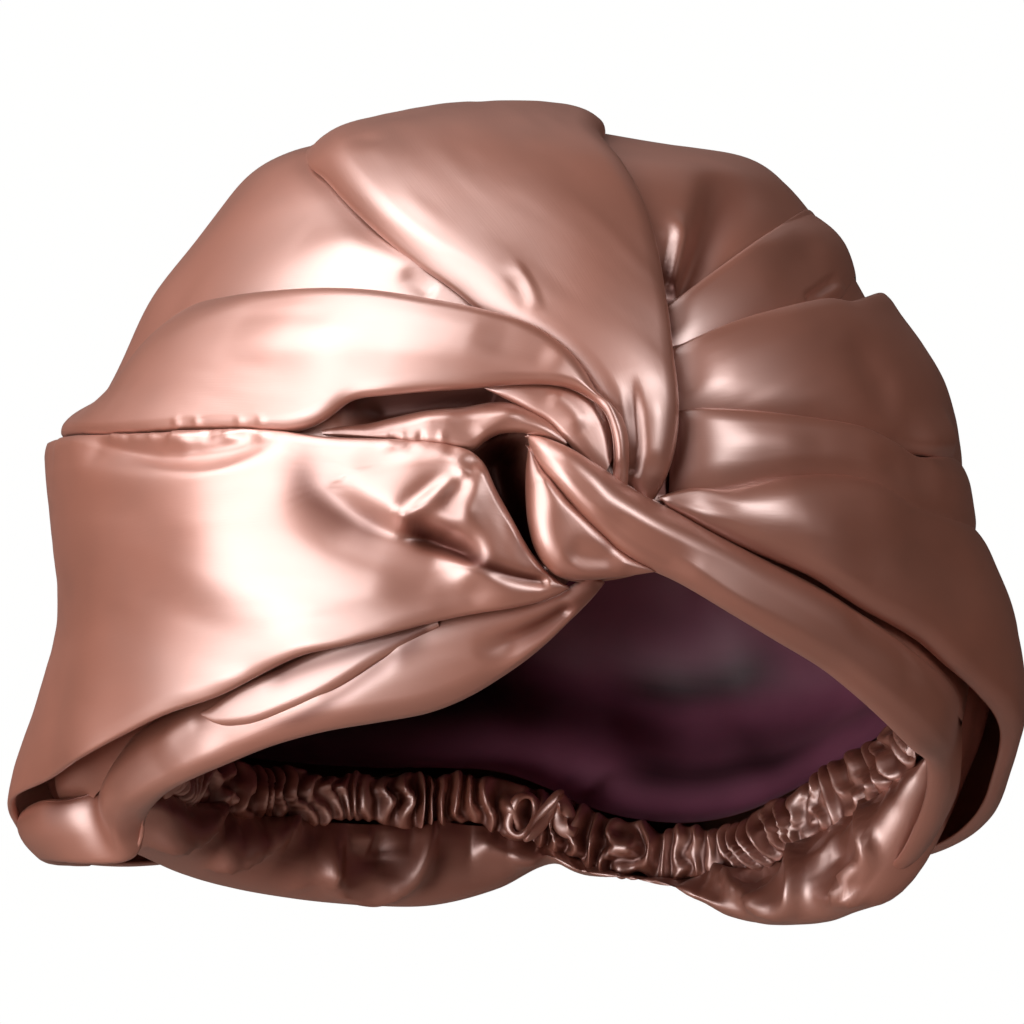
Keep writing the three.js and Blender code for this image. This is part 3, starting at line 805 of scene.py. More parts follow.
# ------------ crown, lining and nape
@dataclass(frozen=True)
class Opening:
    """Rim of the head opening and line of the nape casing, by turn from the front in degrees, in mm.

    Beside the ears the rim stands rim_dive inside the form, which leaves a deep hollow under either band.
    """

    rim_turn: Point = (-110, -93, -75, -60, -41, -25, -10, 1, 12, 22, 31, 48, 68, 87, 100, 112)
    rim_tilt: Point = (-28, -39, -35.5, -32, -28, -26.5, -23.5, -17, -6, -5, -10, -17, -24.5, -28.5, -34, -28)
    rim_dive: Point = (10, 9, 13, 11, 3, 0, 0, 0, 0, 0, 0, 0, 1, 9, 14, 14)
    nape_turn: Point = (96, 106, 118, 130, 140, 150, 160, 168, 174, 182, 192, 202, 216, 230, 244, 258)
    nape_radius: Point = (96, 93, 88, 85, 83, 83, 83, 83, 83, 82, 82, 82, 83, 85, 85, 84)
    nape_height: Point = (-5, -12, -20, -28, -33, -35, -34, -31, -27, -23, -22, -22, -21, -19, -16, -14)
    pouch_foot: Point = (-40, -46.5, -51, -52, -50, -43.5, -41, -41, -38.5, -44, -48, -48, -46, -41.5, -36, -33)
    wall_lean: Point = (10, 11, 12, 12, 11, 9, 6, 3, 1, 0, 0, 0, 0, 1, 2, 2)
    nape_start: float = 84.0
    nape_full: float = 108.0
    casing_height: float = 11.0

    def nape(self, turn: Array) -> Array:
        """Radius, height, pouch foot and lean of the nape at turns, shape (n, 4), held at its ends."""
        table = np.array([self.nape_radius, self.nape_height, self.pouch_foot, self.wall_lean], float).T
        return read_table(self.nape_turn, table, np.where(turn < 48, turn + 360, turn))

    def rim(self, turn: Array) -> tuple[Array, Array]:
        """Tilt of the rim and its depth inside the form.

        Args:
            turn: turns from the front in degrees, between 0 and 360.

        Returns:
            Tilts in degrees and depths in mm, each shaped as turn.
        """
        table = np.array([self.rim_tilt, self.rim_dive], float).T
        return tuple(read_table(self.rim_turn, table, np.where(turn > 180, turn - 360, turn)).T)

    def share(self, turn: Array) -> Array:
        """How far a turn belongs to the nape: 0 across the face, 1 round the back."""
        return smoothstep(np.abs((turn + 180) % 360 - 180), self.nape_start, self.nape_full)


OPENING = Opening()


def around(turn: Array, radius: Array, height: Array) -> Array:
    """Points at level radii and heights, in the planes of turns in degrees."""
    level = direction(turn, 0 * turn) * np.asarray(radius)[..., None]
    return level + np.stack([0 * turn, 0 * turn, height + 0 * turn], axis=-1)


def meridians(turn: Array, nape: list[Array], rise: float, steps: Point, lift: float, ease: float, rows: int) -> Array:
    """Cap of cloth from its hem to the apex, one meridian for each turn.

    Control points run up each meridian: the nape's own points, blended into a hem on the form by the
    nape's share, then points on the form up to the apex. A smooth line through them is read at rows that
    stand closer together near the hem.

    Args:
        turn: turns in degrees, shape (n,).
        nape: control points round the nape, each (n, 3).
        rise: tilt of the hem above the rim.
        steps: tilts above the hem of the control points across the face.
        lift: height of the cap over the form.
        ease: how much further in it sits beside the ears.
        rows: points on each meridian.

    Returns:
        Points in mm, shape (n, rows, 3).
    """
    share = OPENING.share(turn)
    tilt, dive = OPENING.rim(turn)
    inward = ease * np.sqrt(np.sin(np.pi * np.clip(share, 0, 1)))
    controls = []
    for step, point in zip(steps, nape):
        depth = inward + dive * (1 - step / steps[-1]) ** 0.8
        hem = FORM.place(direction(turn, tilt + rise + step), lift - depth)
        controls.append((1 - share)[:, None] * hem + share[:, None] * point)
    shoulder = controls[-1] - CENTRE
    start = np.degrees(np.arcsin(shoulder[:, 2] / np.linalg.norm(shoulder, axis=-1)))
    dome = 1 - (1 - np.linspace(0, 1, 17)[1:]) ** 1.15
    controls += [FORM.place(direction(turn, start + (90 - start) * part), lift) for part in dome]
    stacked = np.stack(controls)
    keys = running(spacing(stacked).mean(axis=1))
    at = keys[-1] * (1 - (1 - np.linspace(0, 1, rows)) ** 1.12)
    read = read_table(keys, stacked.reshape(len(stacked), -1), at).reshape(rows, -1, 3)
    return softened(read, 1.5).transpose(1, 0, 2)


@dataclass
class Crown:
    """The cap of satin: over the head, down the back, under as a pouch and up to the nape casing."""

    folds: list[Fold]
    pouch_folds: list[Fold]
    shades: list[Fold]
    pouch_shades: list[Fold]
    columns: int = 600
    rows: int = 160
    hem_rise: float = 5.0
    shoulder_rise: float = 17.0  # height above the pouch's foot where the cloth is back on the form
    gathers: int = 27
    gather_height: float = 1.5
    gather_reach: float = 9.0  # how far down the pouch the gathers run
    waves: float = 6.3  # broad waves round the back of the cap
    wave_height: float = 1.3
    unevenness: float = 0.35
    flat: Point = (0.44, 0.50)
    area: float = 0.14

    def grid(self) -> Array:
        """Points of the cap: from the casing down the pouch's inner side, round its foot and up over the head.

        Returns:
            Points in mm, shape (columns, rows, 3).
        """
        turn = np.linspace(0, 360, self.columns, endpoint=False)
        radius, height, foot, lean = OPENING.nape(turn).T
        top = height - OPENING.casing_height / 2 - 0.5
        outside = FORM.level_radius(turn, foot + self.shoulder_rise)
        controls = [
            around(turn, radius, top),
            around(turn, radius - 3 - 0.55 * lean, (top + foot) / 2),
            around(turn, radius + 4 - lean, foot + 1),
            around(turn, (radius + 7 - lean + outside) / 2, foot + 2),
            around(turn, outside, foot + self.shoulder_rise),
        ]
        grid = meridians(turn, controls, self.hem_rise, (0, 4, 8, 12, 17), 0, 0, self.rows)
        return self.folded(grid, turn)

    def folded(self, grid: Array, turn: Array) -> Array:
        """The cap with its pouch folds, crown folds and unevenness.

        Down the pouch, small gathers hang from the casing as a wave round the turn that dies away below it as
        a bell curve, and a few deep folds run on from them as ridges of their own. Broad waves, cosines of the
        turn, come in past the pouch's foot and go out up the back.

        Args:
            grid: the smooth cap's points in mm, shape (columns, rows, 3).
            turn: the columns' turns in degrees, shape (columns,).

        Returns:
            Points shaped as the grid.
        """
        normals = grid_normals(grid, True)
        run = running(spacing(grid, 1), 1)
        share = OPENING.share(turn)[:, None]
        span = (turn[:, None] - OPENING.nape_turn[0]) / (OPENING.nape_turn[-1] - OPENING.nape_turn[0])
        lean = span + 0.0011 * run * np.cos(np.pi * span)
        wander = 0.5 * cloud(lean * 9, run / 40, 3)
        small = np.abs(np.cos(np.pi * (self.gathers * lean + 1.4 * wander))) ** 0.8 - 0.6
        rise = self.gather_height * small * np.exp(-((run / self.gather_reach) ** 2))
        rise = rise + 0.5 * cloud(lean * 14, run / 16, 41) * np.exp(-((run / 40) ** 2))
        broad = self.wave_height * np.cos(2 * np.pi * (self.waves * span + 0.6 * wander))
        rise += broad * smoothstep(-run, -150, -50) * smoothstep(run, 28, 44)
        height = share * rise * smoothstep(run, 0, 3)
        for fold in self.pouch_folds:
            height = height + self.on_pouch(fold, grid)
        below = FORM.under(grid)
        for fold in self.folds:
            height = height + fold.heights(below, 0)
        height = height + self.unevenness * cloud(grid[..., 0] / 26 + 9, grid[..., 2] / 26 + grid[..., 1] / 31 + 9, 5)
        return grid + normals * height[..., None]

    def on_pouch(self, fold: Fold, grid: Array) -> Array:
        """Heights of a fold whose route runs, by (x, z), over the pouch's side that faces the opening.

        A route point's distance out and its turn depend on one another, and settle in four passes.

        Args:
            fold: the fold.
            grid: the cap's points in mm, shape (columns, rows, 3).

        Returns:
            Heights in mm, shape (columns, rows).
        """
        across, level = np.array(fold.route, float).T
        out = np.full_like(across, 84.0)
        for _ in range(4):
            turn = 180 - np.degrees(np.arcsin(np.clip(across / out, -0.999, 0.999)))
            radius, casing, foot, lean = OPENING.nape(turn).T
            down = np.clip((casing - 6 - level) / (casing - 6 - foot), 0, 1)
            out = radius - 1 - lean * down - 8 * down * (1 - down) + 4 * down**2
        return fold.along(grid, around(turn, out, level), -direction(turn, 0 * turn))

    def make(self) -> None:
        """The cap's object."""
        grid = self.grid()
        # painted shade on the crown and down the pouch
        shade = shade_of(FORM.under(grid), 0, self.shades)
        for fold in self.pouch_shades:
            shade += self.on_pouch(fold, grid)
        shade = np.clip(shade, 0, 1)
        piece = single_layer("crown_cloth", grid, True, ROSE.material(), shade)
        finished(piece)


@dataclass
class Lining:
    """The plum lining: the same cap inside the crown, from the rim and the top of the nape casing up."""

    columns: int = 320
    rows: int = 110
    depth: float = 4.2
    hem_rise: float = 12.0
    ear_ease: float = 7.0
    wrinkles: Point = (2.2, 0.6)  # heights of the broad and of the fine ones
    wrinkle_top: float = 1.4  # where the broad ones are cut off flat
    settled: float = 0.6  # how far in the wrinkled lining lies in all
    flat: Point = (0.40, 0.42)
    area: float = 0.11
    # painted shade: where the lining is painted darker in shade
    shades: list[Fold] = field(default_factory=lambda: [
        even([(-80, 60, -6), (-60, 84, -4), (-35, 100, 0), (-10, 108, 6), (2, 108, 26)], 1.1, (34, 16), (0, 0.2)),
        even([(18, 106, 6), (45, 99, 6), (66, 87, 14)], 0.8, (5, 6)),
        even([(26, 105, -24), (60, 88, -22), (80, 64, -10)], 0.8, (6, 5), (0.2, 0.3)),
    ])

    def make(self) -> None:
        """The lining's object, with soft noise for its inner wrinkles."""
        turn = np.linspace(0, 360, self.columns, endpoint=False)
        radius, height = OPENING.nape(turn).T[:2]
        top = height + OPENING.casing_height / 2 + 0.5
        controls = [around(turn, radius + out, top + up) for out, up in ((0.5, 1), (7, 4), (12, 15))]
        grid = meridians(turn, controls, self.hem_rise, (0, 6, 13), -self.depth, self.ear_ease, self.rows)
        normals = grid_normals(grid, True)
        rise = self.wrinkles[0] * cloud(grid[..., 0] / 21, grid[..., 2] / 27 + grid[..., 0] / 60, 21)
        rise += self.wrinkles[1] * cloud(grid[..., 0] / 8 + 3, grid[..., 2] / 13, 22)
        below = FORM.under(grid)
        dents = sum(fold.heights(below, 0) for fold in knot_hollow())
        grown = smoothstep(np.linspace(0, 1, self.rows)[None], 0.0, 0.12)
        grid = grid + normals * (np.minimum(rise, self.wrinkle_top) * grown - self.settled + dents)[..., None]
        # painted shade on the lining
        shade = shade_of(below, 0, self.shades)
        piece = single_layer("lining_cloth", grid, True, PLUM.material(), shade)
        finished(piece)


@dataclass
class NapeCasing:
    """The gathered elastic casing round the nape and the small looped join at its middle."""

    puckers: int = 52
    pucker_depth: float = 2.5  # how far a pucker stands out, mm
    depth_change: float = 2.0  # how far that changes from one pucker to the next
    sharpness: float = 2.2  # of the puckers' ridges
    edge_flare: float = 0.2
    # painted shade: how dark the casing is painted between two puckers
    painted_pucker_shade: float = 0.85  # shade between two puckers
    columns: int = 1500
    section: int = 34
    flat: Point = (0.012, 0.36)
    join_flat: Point = (0.012, 0.022)
    join_turn: float = 175.0

    def make(self) -> None:
        """The casing and its join."""
        self.casing()
        self.join()

    def casing(self) -> None:
        """The casing: a flat oval section carried round the nape.

        The section's point at angle p stands out by sin p and up by cos p. Each pucker is a bent ridge:
        its place along the casing sways with the height in the section, so that neighbouring ridges lean
        and pinch together along the middle, and the section's edges flare.
        """
        span = np.linspace(0, 1, self.columns)[:, None]
        turn = OPENING.nape_turn[0] + (OPENING.nape_turn[-1] - OPENING.nape_turn[0]) * span
        radius, height = OPENING.nape(turn[:, 0]).T[:2]
        angle = np.linspace(0, 2 * np.pi, self.section)[None]
        up, out = np.cos(angle), np.sin(angle)
        beat = self.puckers * span + 1.3 * cloud(span * 11, 0 * span, 31) + 0.45 * cloud(span * 47, 0 * span, 36)
        sway = 0.75 * np.sin(1.7 * up + 1.5 * cloud(span * 9, 0 * span, 38))
        sway = sway * cloud(span * self.puckers * 0.3, 0 * span, 32)
        sway += 0.5 * cloud(span * self.puckers * 0.7, up * 1.7 + 5, 35)
        ridge = np.abs(np.cos(np.pi * (beat + sway))) ** self.sharpness
        depth = self.pucker_depth + self.depth_change * cloud(span * self.puckers * 0.45, up * 0.9 + 4, 33)
        swell = 0.5 + ridge * depth
        flare = 1 + self.edge_flare * cloud(span * self.puckers * 0.9, np.sign(up) + 7 + 0 * span, 34)
        level = radius[:, None] + out * (swell + 0.4) * np.where(out < 0, 1.25, 0.5)
        tall = height[:, None] + up * flare * (OPENING.casing_height / 2 + 0.4 + 0.6 * ridge)
        climb = np.gradient(height) / np.gradient(np.radians(turn[:, 0]) * radius)
        tilted = turn - np.degrees(climb[:, None] * up * OPENING.casing_height / 2 / radius[:, None]) * 0.7
        grid = around(tilted, level, tall)
        # painted shade between the puckers, darkest where the ridge is low
        shade = np.clip(1.0 - 1.5 * ridge + 0.5 * cloud(span * 14, up * 0.8, 39), 0, 1) * self.painted_pucker_shade
        piece = self.closed_tube("nape_casing_cloth", grid, shade)
        finished(piece)

    def closed_tube(self, name: str, grid: Array, shade: Array) -> Object:
        """A tube of cloth whose section closes on itself, with both ends drawn to a point.

        Args:
            name: the object's name.
            grid: the tube's points in mm, shape (columns, section, 3).
            shade: painted shade at each point, from 0 to 1, shape (columns, section).

        Returns:
            The closed object.
        """
        ends = [np.repeat(grid[k].mean(axis=0)[None, None], grid.shape[1], axis=1) for k in (0, -1)]
        grid = np.concatenate([ends[0], grid, ends[1]])
        piece = single_layer(name, grid, False, ROSE.material(), np.concatenate([shade[:1], shade, shade[-1:]]))
        fix_doubles(piece)
        return piece

    def join(self) -> None:
        """The looped join: an open loop, a strap and a small lobe of ribbon.

        Each is an oval ring with a round section: at angle t round the oval and p round the section it stands
        cos t (wide + band cos p) across and sin t (tall + band cos p) up, and the whole leans by lean.
        """
        turn = np.array([self.join_turn])
        radius, height = OPENING.nape(turn).T[:2]
        middle = around(turn, radius - 5.2, height + 0.6)[0]
        t = np.linspace(0, 2 * np.pi, 65)[:, None]
        p = np.linspace(0, 2 * np.pi, 17)[None]
        loop, strap, lobe = (-4.2, 18, 3.2, 5, 1.1, 0), (0.8, 38, 0.9, 6.4, 1.2, -1.6), (5.6, -25, 1.5, 3.6, 1.9, -0.4)
        parts = []
        for k, (shift, lean, wide, tall, thick, near) in enumerate((loop, strap, lobe)):
            band = thick * (1 + 0.25 * np.cos(2 * t + 2 * k))
            x = np.cos(t) * (wide + band * np.cos(p)) * (1 + 0.1 * np.cos(3 * t + k))
            z = np.sin(t) * (tall + band * np.cos(p))
            y = near + 1.0 * np.sin(p) + 0.8 * np.sin(2 * t + k) + 0.3 * band * np.cos(p)
            turned = math.radians(lean)
            parts.append(np.stack([
                shift + x * math.cos(turned) + z * math.sin(turned), y, z * math.cos(turned) - x * math.sin(turned),
            ], axis=-1))
        pieces = [single_layer(f"join_{k}", part + middle, False, ROSE.material()) for k, part in enumerate(parts)]
        joined = join_pieces("casing_knot_cloth", pieces)
        fix_doubles(joined)
        finished(joined)


def join_pieces(name: str, pieces: list[Object]) -> Object:
    """One object from several, under a new name.

    Args:
        name: the new name.
        pieces: the objects; the first takes in the others.

    Returns:
        The one object.
    """
    with bpy.context.temp_override(active_object=pieces[0], selected_editable_objects=pieces):
        bpy.ops.object.join()
    pieces[0].name = name
    return pieces[0]


def fix_doubles(piece: Object) -> None:
    """Merges vertices that share a place and points every face outwards.

    Args:
        piece: the object whose mesh is mended.
    """
    work = bmesh.new()
    work.from_mesh(piece.data)
    bmesh.ops.remove_doubles(work, verts=work.verts, dist=1e-7)
    bmesh.ops.recalc_face_normals(work, faces=work.faces)
    work.to_mesh(piece.data)
    work.free()


# ------------ the twist
S = Station  # rows of the tables below: a, b, lift, belly, roll_a, drop_a, roll_b, drop_b, flare


@dataclass
class Twist:
    """The twist on the forehead: the sweep from the crown, the loop, the strand and the knot wrap."""

    def make(self) -> None:
        """Every piece of the twist."""
        for maker in (self.sweep, self.over_loop, self.loop_middle, self.loop_inner, self.strand, self.knot_wrap):
            maker()

    def sweep(self) -> None:
        """Broad swath from the top of the crown into the twist; a is its left edge."""
        stations = [
            S((28.8, 50.3), (33.7, 48.9), 3.5, 0.5, 4, 2, 4, 2),
            S((26.4, 55.7), (36.6, 53.3), 5.2, 1, 5, 3, 5, 2),
            S((23.8, 62.1), (39.2, 61.4), 6.2, 1.4, 6, 3.9, 5, 1.8),
            S((21.5, 68.4), (40.1, 69.4), 6.8, 1.4, 7, 4.4, 5, 1.6),
            S((17.9, 74.1), (39.9, 76.7), 7.2, 1.4, 8, 4.8, 5, 1.4),
            S((12.7, 79.8), (38.9, 84.3), 7.2, 1.4, 9, 5, 5, 1.4),
            S((6.6, 85.7), (38, 91.6), 7, 1.6, 9, 4.6, 5, 1.4),
            S((0, 89.9), (37.1, 98.4), 6.6, 1.8, 9, 4.2, 5, 1.4),
            S((-7.3, 95.3), (35.9, 106.7), 6, 2, 9, 3.6, 6, 1.6),
            S((-14.6, 101.5), (34, 115.2), 5.4, 2, 8, 3.8, 6, 1.8),
            S((-22.9, 107.1), (31.2, 123.4), 5, 1.8, 7, 3.8, 7, 2),
            S((-31.6, 114), (27.1, 131), 5.2, 1.4, 7, 3.8, 8, 2.6),
            S((-40.4, 122.5), (22.4, 137.6), 5.4, 1.2, 7, 3.8, 9, 3.2),
            S((-46.7, 129.6), (22.5, -18, 138.6), 5.6, 1.2, 9, 4.2, 9, 3.4),
            S((-50, 132.2), (22.5, -6, 138), 5.2, 1.2, 14, 4.4, 11, 3.6),
            S((-47, -14, 130), (21, 8, 136), 4.8, 1, 20, 4.5, 15, 4.2),
            S((-40, 18, 130), (18, 28, 134), 3.9, 0.8, 24, 3.8, 20, 3.7),
            S((-26, 48, 126), (10, 52, 128), 2.2, 0.4, 24, 2.1, 22, 2.1),
            S((-14, 68, 118), (2, 70, 119), 1, 0.2, 14, 0.8, 14, 0.8),
            S((-7, 92, 104), (-4, 92, 104), 0.3, 0, 3, 0.1, 3, 0.1),
        ]
        folds = [
            Fold([(0.2, 105.7), (2.4, 101.7), (4.5, 97.7), (6.1, 92.5)], 0.55, (0.8, 1.1), 2.6, (0.4, 0.15)),
            Fold([(-0.9, 102.4), (1.9, 97.7), (4.2, 92.5)], -0.35, 2.6, 1.8, (0.4, 0.15)),
            Fold([(27.1, 78.8), (27.6, 73.2), (28.3, 67.3), (28.8, 61.4), (28.3, 54.8)],
                 -1.5, 1.4, (4, 3), (0.45, 0.1)),
            Fold([(25, 76.9), (25.3, 72), (26.2, 66.1), (27.4, 57.8)], 0.6, 3, 1.6, (0.4, 0.2)),
            even([(32.1, 75.5), (33, 66.1), (32.6, 56.6)], 0.9, (4, 3), (0.4, 0.2)),
            Fold([(-37.8, 134.3), (-34, 133.6), (-30.2, 131.9)], -0.3, (2, 3), (3, 4), (0.4, 0.5)),
            Fold([(-21.7, 127.4), (-7.6, 116.8), (11.3, 103.8), (20.8, 92)], -0.9, (14, 10), (12, 9), 0.4),
        ]
        shades = [
            Fold([(27.6, 76.5), (27.8, 69.6), (28.6, 62.3), (29, 54.3)], 0.6, (1.7, 1.5), (2.4, 2.2), (0.35, 0.1)),
            even([(33.7, 56.6), (33.7, 49.6)], 0.5, 4, (0.4, 0.02)),
        ]
        Panel(
            "crown_sweep_cloth", stations, folds, shades, lift=5, belly=1.5, roll_a=9, drop_a=3.6, roll_b=6,
            drop_b=1.6, lip_a=0.8, lip_b=2, turn_b=165, columns=230, face_rows=84, seed=3, flat=(0.07, 0.24),
        ).make()

    def over_loop(self) -> None:
        """Swath that comes round from the left, passes over the loop and turns down into the twist."""
        stations = [
            S((27.4, 52.4), (23.8, 53.8), 6, 0.3, 3, 1.5, 3, 1.5),
            S((27.8, 59.5), (24.1, 60.9), 8, 0.3, 3, 1.5, 3, 1.5),
            S((27.4, 66.6), (23.4, 66.3), 9, 0.3, 3, 1.6, 3, 1.6),
            S((25, 71.3), (21.5, 71.5), 9.6, 0.4, 4, 1.8, 4, 1.8),
            S((21, 74.3), (16.5, 75.5), 9.8, 0.6, 4, 2, 4, 1.8),
            S((17.5, 80.7), (9.4, 77.2), 9.8, 1, 4, 2, 4, 1.4),
            S((12, 86.8), (0, 77.2), 9.6, 1.6, 4, 1.8, 4, 1.2),
            S((4.2, 91.8), (-9.9, 76.2), 9.2, 1.8, 4, 1.6, 4, 1.2),
            S((-7.3, 95.1), (-20.5, 75.5), 8.6, 1.8),
            S((-19.1, 97.5), (-30, 74.6), 8, 1.8),
            S((-30.9, 99.4), (-38.2, 73.4), 7.2, 1.8, roll_b=4, drop_b=1.2),
            S((-42.5, 100.1), (-44.8, 68.7), 6.4, 1.8, 4, 1.4, 4, 1.6),
            S((-54.3, 99.8), (-52.4, 66.1), 5.4, 1.6, 5, 1.6, 4, 2),
            S((-66.8, 99.1), (-64.2, 66.3), 4.6, 1.6, 9, 2.4, 4, 1.8),
            S((-78.4, 96.8), (-76, 66.3), 4.4, 1.4, 16, 3.2, 4, 1.6),
            S((-87.8, 89.7), (-87.8, 65.8), 4.4, 1, 20, 3.2, 4, 1.4),
            S((-95.3, 79.8), (-98.4, 65.4), 4.4, 0.6, 20, 3.4, 4, 1.3),
            S((-103, -12, 75), (-108, -9, 65), 4.2, 0.3, 10, 3.4, 4, 1.4),
            S((-105, 14, 73), (-108, 16, 64.5), 3.2, 0.1, 6, 2.2, 4, 1),
            S((-102, 36, 70), (-103, 37, 65), 1.8, 0.1, 5, 1.2, 3, 0.6),
            S((-96, 55, 66), (-96, 56, 64), 0.4, 0, 2, 0.1, 2, 0.1),
        ]
        folds = [
            Fold([(-9.9, 86.1), (1.9, 83.1), (11.8, 79.8)], -1.3, (6, 5), (5, 4), (0.4, 0.3)),
            even([(20.8, 73.9), (22.2, 68.4), (23.8, 62.1), (24.1, 56.6)], 0.8, 1.4, 0.1),
            even([(-64.2, 89.7), (-45.3, 86.1), (-26.4, 86.1)], 0.9, 9, 0.4),
            *(even([(x, 66.1), (x + 0.5, 68.0), (x + 1.2, 69.6)], 0.35, 1.2, (0.05, 0.5))
              for x in (-79.3, -74.6, -64.2, -59)),
        ]
        shades = [
            Fold([(19.8, 73.2), (21.5, 68.4), (22.7, 61.4), (23.6, 55.2)], 0.4, 1.5, 1.2, (0.3, 0.1)),
        ]
        Panel(
            "over_loop_cloth", stations, folds, shades, lift=7.5, belly=1.5, roll_a=3.5, drop_a=1.4, roll_b=4,
            drop_b=1.4, lip_a=0.8, lip_b=1.1, turn_a=120, turn_b=170, doubled=True, columns=260, face_rows=70,
            seed=4, flat=(0.04, 0.19), rests_on=("crown_cloth", "crown_sweep_cloth"),
        ).make()

    def loop_middle(self) -> None:
        """Middle layer inside the loop; b is its piped lower edge."""
        stations = [
            S((-8, 76.9), (-6.1, 75.8), 5),
            S((0, 78.4), (-0.5, 73.2), 5.4),
            S((6.6, 78.6), (4, 70.8), 5.8),
            S((12.7, 77.9), (8.5, 68.2), 6),
            S((18.4, 75.5), (12, 64.7), 6),
            S((21.7, 71.3), (14.6, 61.8), 6),
            S((23.6, 66.1), (17.5, 58.5), 5.8),
            S((24.1, 60.2), (21.2, 54.8), 5.4),
        ]
        Panel(
            "loop_middle_cloth", stations, lift=5.4, belly=0.6, roll_a=4, drop_a=1.6, roll_b=4, drop_b=1,
            lip_a=0.8, lip_b=1.1, turn_b=170, columns=140, face_rows=36, seed=5, crumple=0.12, flat=(0.012, 0.05),
            rests_on=("over_loop_cloth",), folds=[even([(7.8, 75), (13.2, 70.8), (17, 65.1)], 0.8, 2.5)],
        ).make()

    def loop_inner(self) -> None:
        """Gathered inner layer inside the loop, and the fold that it turns over beside the knot."""
        stations = [
            S((-44.8, 66.1), (-44.4, 64.9), 1.4, 0.1, 2, 0.6, 2, 0.4),
            S((-39.4, 67.3), (-38.7, 64.2), 2.4, 0.4, 3, 1.4, 2, 0.8),
            S((-34.5, 68.2), (-33.5, 63.7), 3.4),
            S((-29.5, 69.4), (-28.6, 63.2), 4.2),
            S((-23.1, 70.8), (-22.2, 62.5), 5, 1.2),
            S((-17, 71.5), (-15.8, 62.1), 5.4, 1.4),
            S((-11.8, 72), (-9.9, 61.1), 5.2, 1.2),
            S((-5.7, 73.2), (-6.4, 63.5), 5.4),
            S((-0.5, 73.2), (-2.6, 65.4), 5.8),
            S((4.2, 71.5), (2.6, 65.6), 6.2),
            S((9, 69.1), (8, 64.2), 6),
            S((13.2, 65.6), (12.7, 62.1), 5.2),
        ]
        folds = [
            *(even([(x, 66.4), (x - lean, 64.4), (x - lean, 62.3)], height, (0.9, 1.2), (0.6, 0.02))
              for x, lean, height in ((-28, 0.5, -0.35), (-25.6, 0.2, 0.25), (-20.4, 0.9, -0.4), (-16.4, -0.2, 0.3))),
            even([(-25.3, 67.5), (-17, 69.6), (-9, 68.4)], 0.8, 3.4, 0.4),
            Fold([(-8.5, 62.8), (-5.7, 66.1), (-1.4, 68.7), (4.2, 69.6)], 0.8, (3, 2.4), 1.6, (0.25, 0.4)),
        ]
        shades = [
            Fold([(-44.8, 66.1), (-38.2, 66.6), (-28.8, 67.5), (-19.4, 68.9)], 0.45, 6, 5, (0.1, 0.5)),
            Fold([(-26.4, 72.2), (-14.6, 72.7), (-5.2, 73.2), (6.6, 72.2)], 0.45, 3.4, 2.6, 0.2),
        ]
        Panel(
            "loop_inner_cloth", stations, folds, shades, lift=3.6, belly=0.9, roll_a=5, drop_a=2.8, roll_b=2.4,
            drop_b=1.2, lip_a=0.5, lip_b=0.9, turn_b=165, columns=240, face_rows=44, seed=6, crumple=0.2,
            flat=(0.012, 0.06), held=Held.GATHERED, rests_on=("crown_cloth", "left_band_cloth"),
        ).make()

    def strand(self) -> None:
        """Rolled strand over the knot that runs on as the right hem of the opening; a is its upper edge."""
        stations = [
            S((3.5, 65.1), (4, 62.3), 4.2, 0.2, 3, 0.8, 3, 0.8),
            S((8, 64.7), (6.1, 58.5), 8.4, 0.8, 5, 2, 4, 1.8),
            S((14.4, 62.3), (10.4, 53.1), 11.4, 1.2, 6, 3, 4, 2.2),
            S((20.8, 58.8), (15.6, 47.2), 12.2, 1.4, 7, 5, 4, 2.4),
            S((27.6, 55), (21.5, 41.3), 12.4, 1.6, 9, 7.5, 5, 3),
            S((34, 51.4), (28.8, 35.2), 11.8, 1.8, 9, 8.5, 6, 3.4),
            S((40.8, 47.7), (40.1, 30), 10.6, 1.8, 9, 7.5, 6, 3.4),
            S((48.9, 42.5), (52.4, 22.7), 9.4, 1.6, 8, 5.2, 6, 3.2),
            S((63, 34.9), (64.2, 15.6), 8, 1.4, 9, 3.8),
            S((75.8, 28.3), (76, 8.5), 6.8, 1.2, 10, 3.6),
            S((84, 23.1), (84, 2.1), 5.8, 1.2, 10, 3.4),
            S((93.5, 16.5), (91.8, -5), 4.6, 1, 9, 3),
            S((101.5, 9.9), (97.7, -10.9), 3, 1, 8, 2.6),
            S((106.2, -16, 4), (101.5, -24, -15), OWN, 0.6, 6, 2, 5, 2),
            S((107, -6, -10), (101, -10, -23), OWN, 0.4, 5, 1.8, 4, 1.6),
            S((104.5, 6, -23), (98, 4, -31), OWN, 0.3, 4, 1.4, 4, 1.4),
            S((99, 20, -33), (93, 18, -38), OWN, 0.2, 3, 1, 3, 1),
            S((92, 32, -39), (87, 30, -41), OWN, 0.1, 3, 0.6, 3, 0.6),
        ]
        folds = [
            Fold([(17.5, 47.7), (24.5, 42), (32.6, 37.1), (42, 32.1)], -1.3, (3.2, 3.6), 2.2),
            Fold([(30.2, 46.7), (42, 38.2), (58.5, 27.8), (76, 16), (91.6, 3.8)], -0.9, (5, 6), 5),
            even([(9, 62.1), (16, 56.6), (23.6, 50.5)], 0.5, 3, (0.3, 0.4)),
            Fold([(77.4, 26), (83.5, 19.4), (91.6, 13.7), (97.5, 6.6)], -1.2, (2, 2.4), (4, 5)),
        ]
        Panel(
            "twist_strand_cloth", stations, folds, lift=8, belly=1.5, roll_a=7, drop_a=3.2, roll_b=7, drop_b=3,
            lip_a=1.6, lip_b=2, turn_b=175, doubled=True, columns=280, face_rows=60, seed=7, flat=(0.032, 0.18),
            rests_on=("knot_wrap_cloth", "crown_cloth"), lowest=-30,
        ).make()

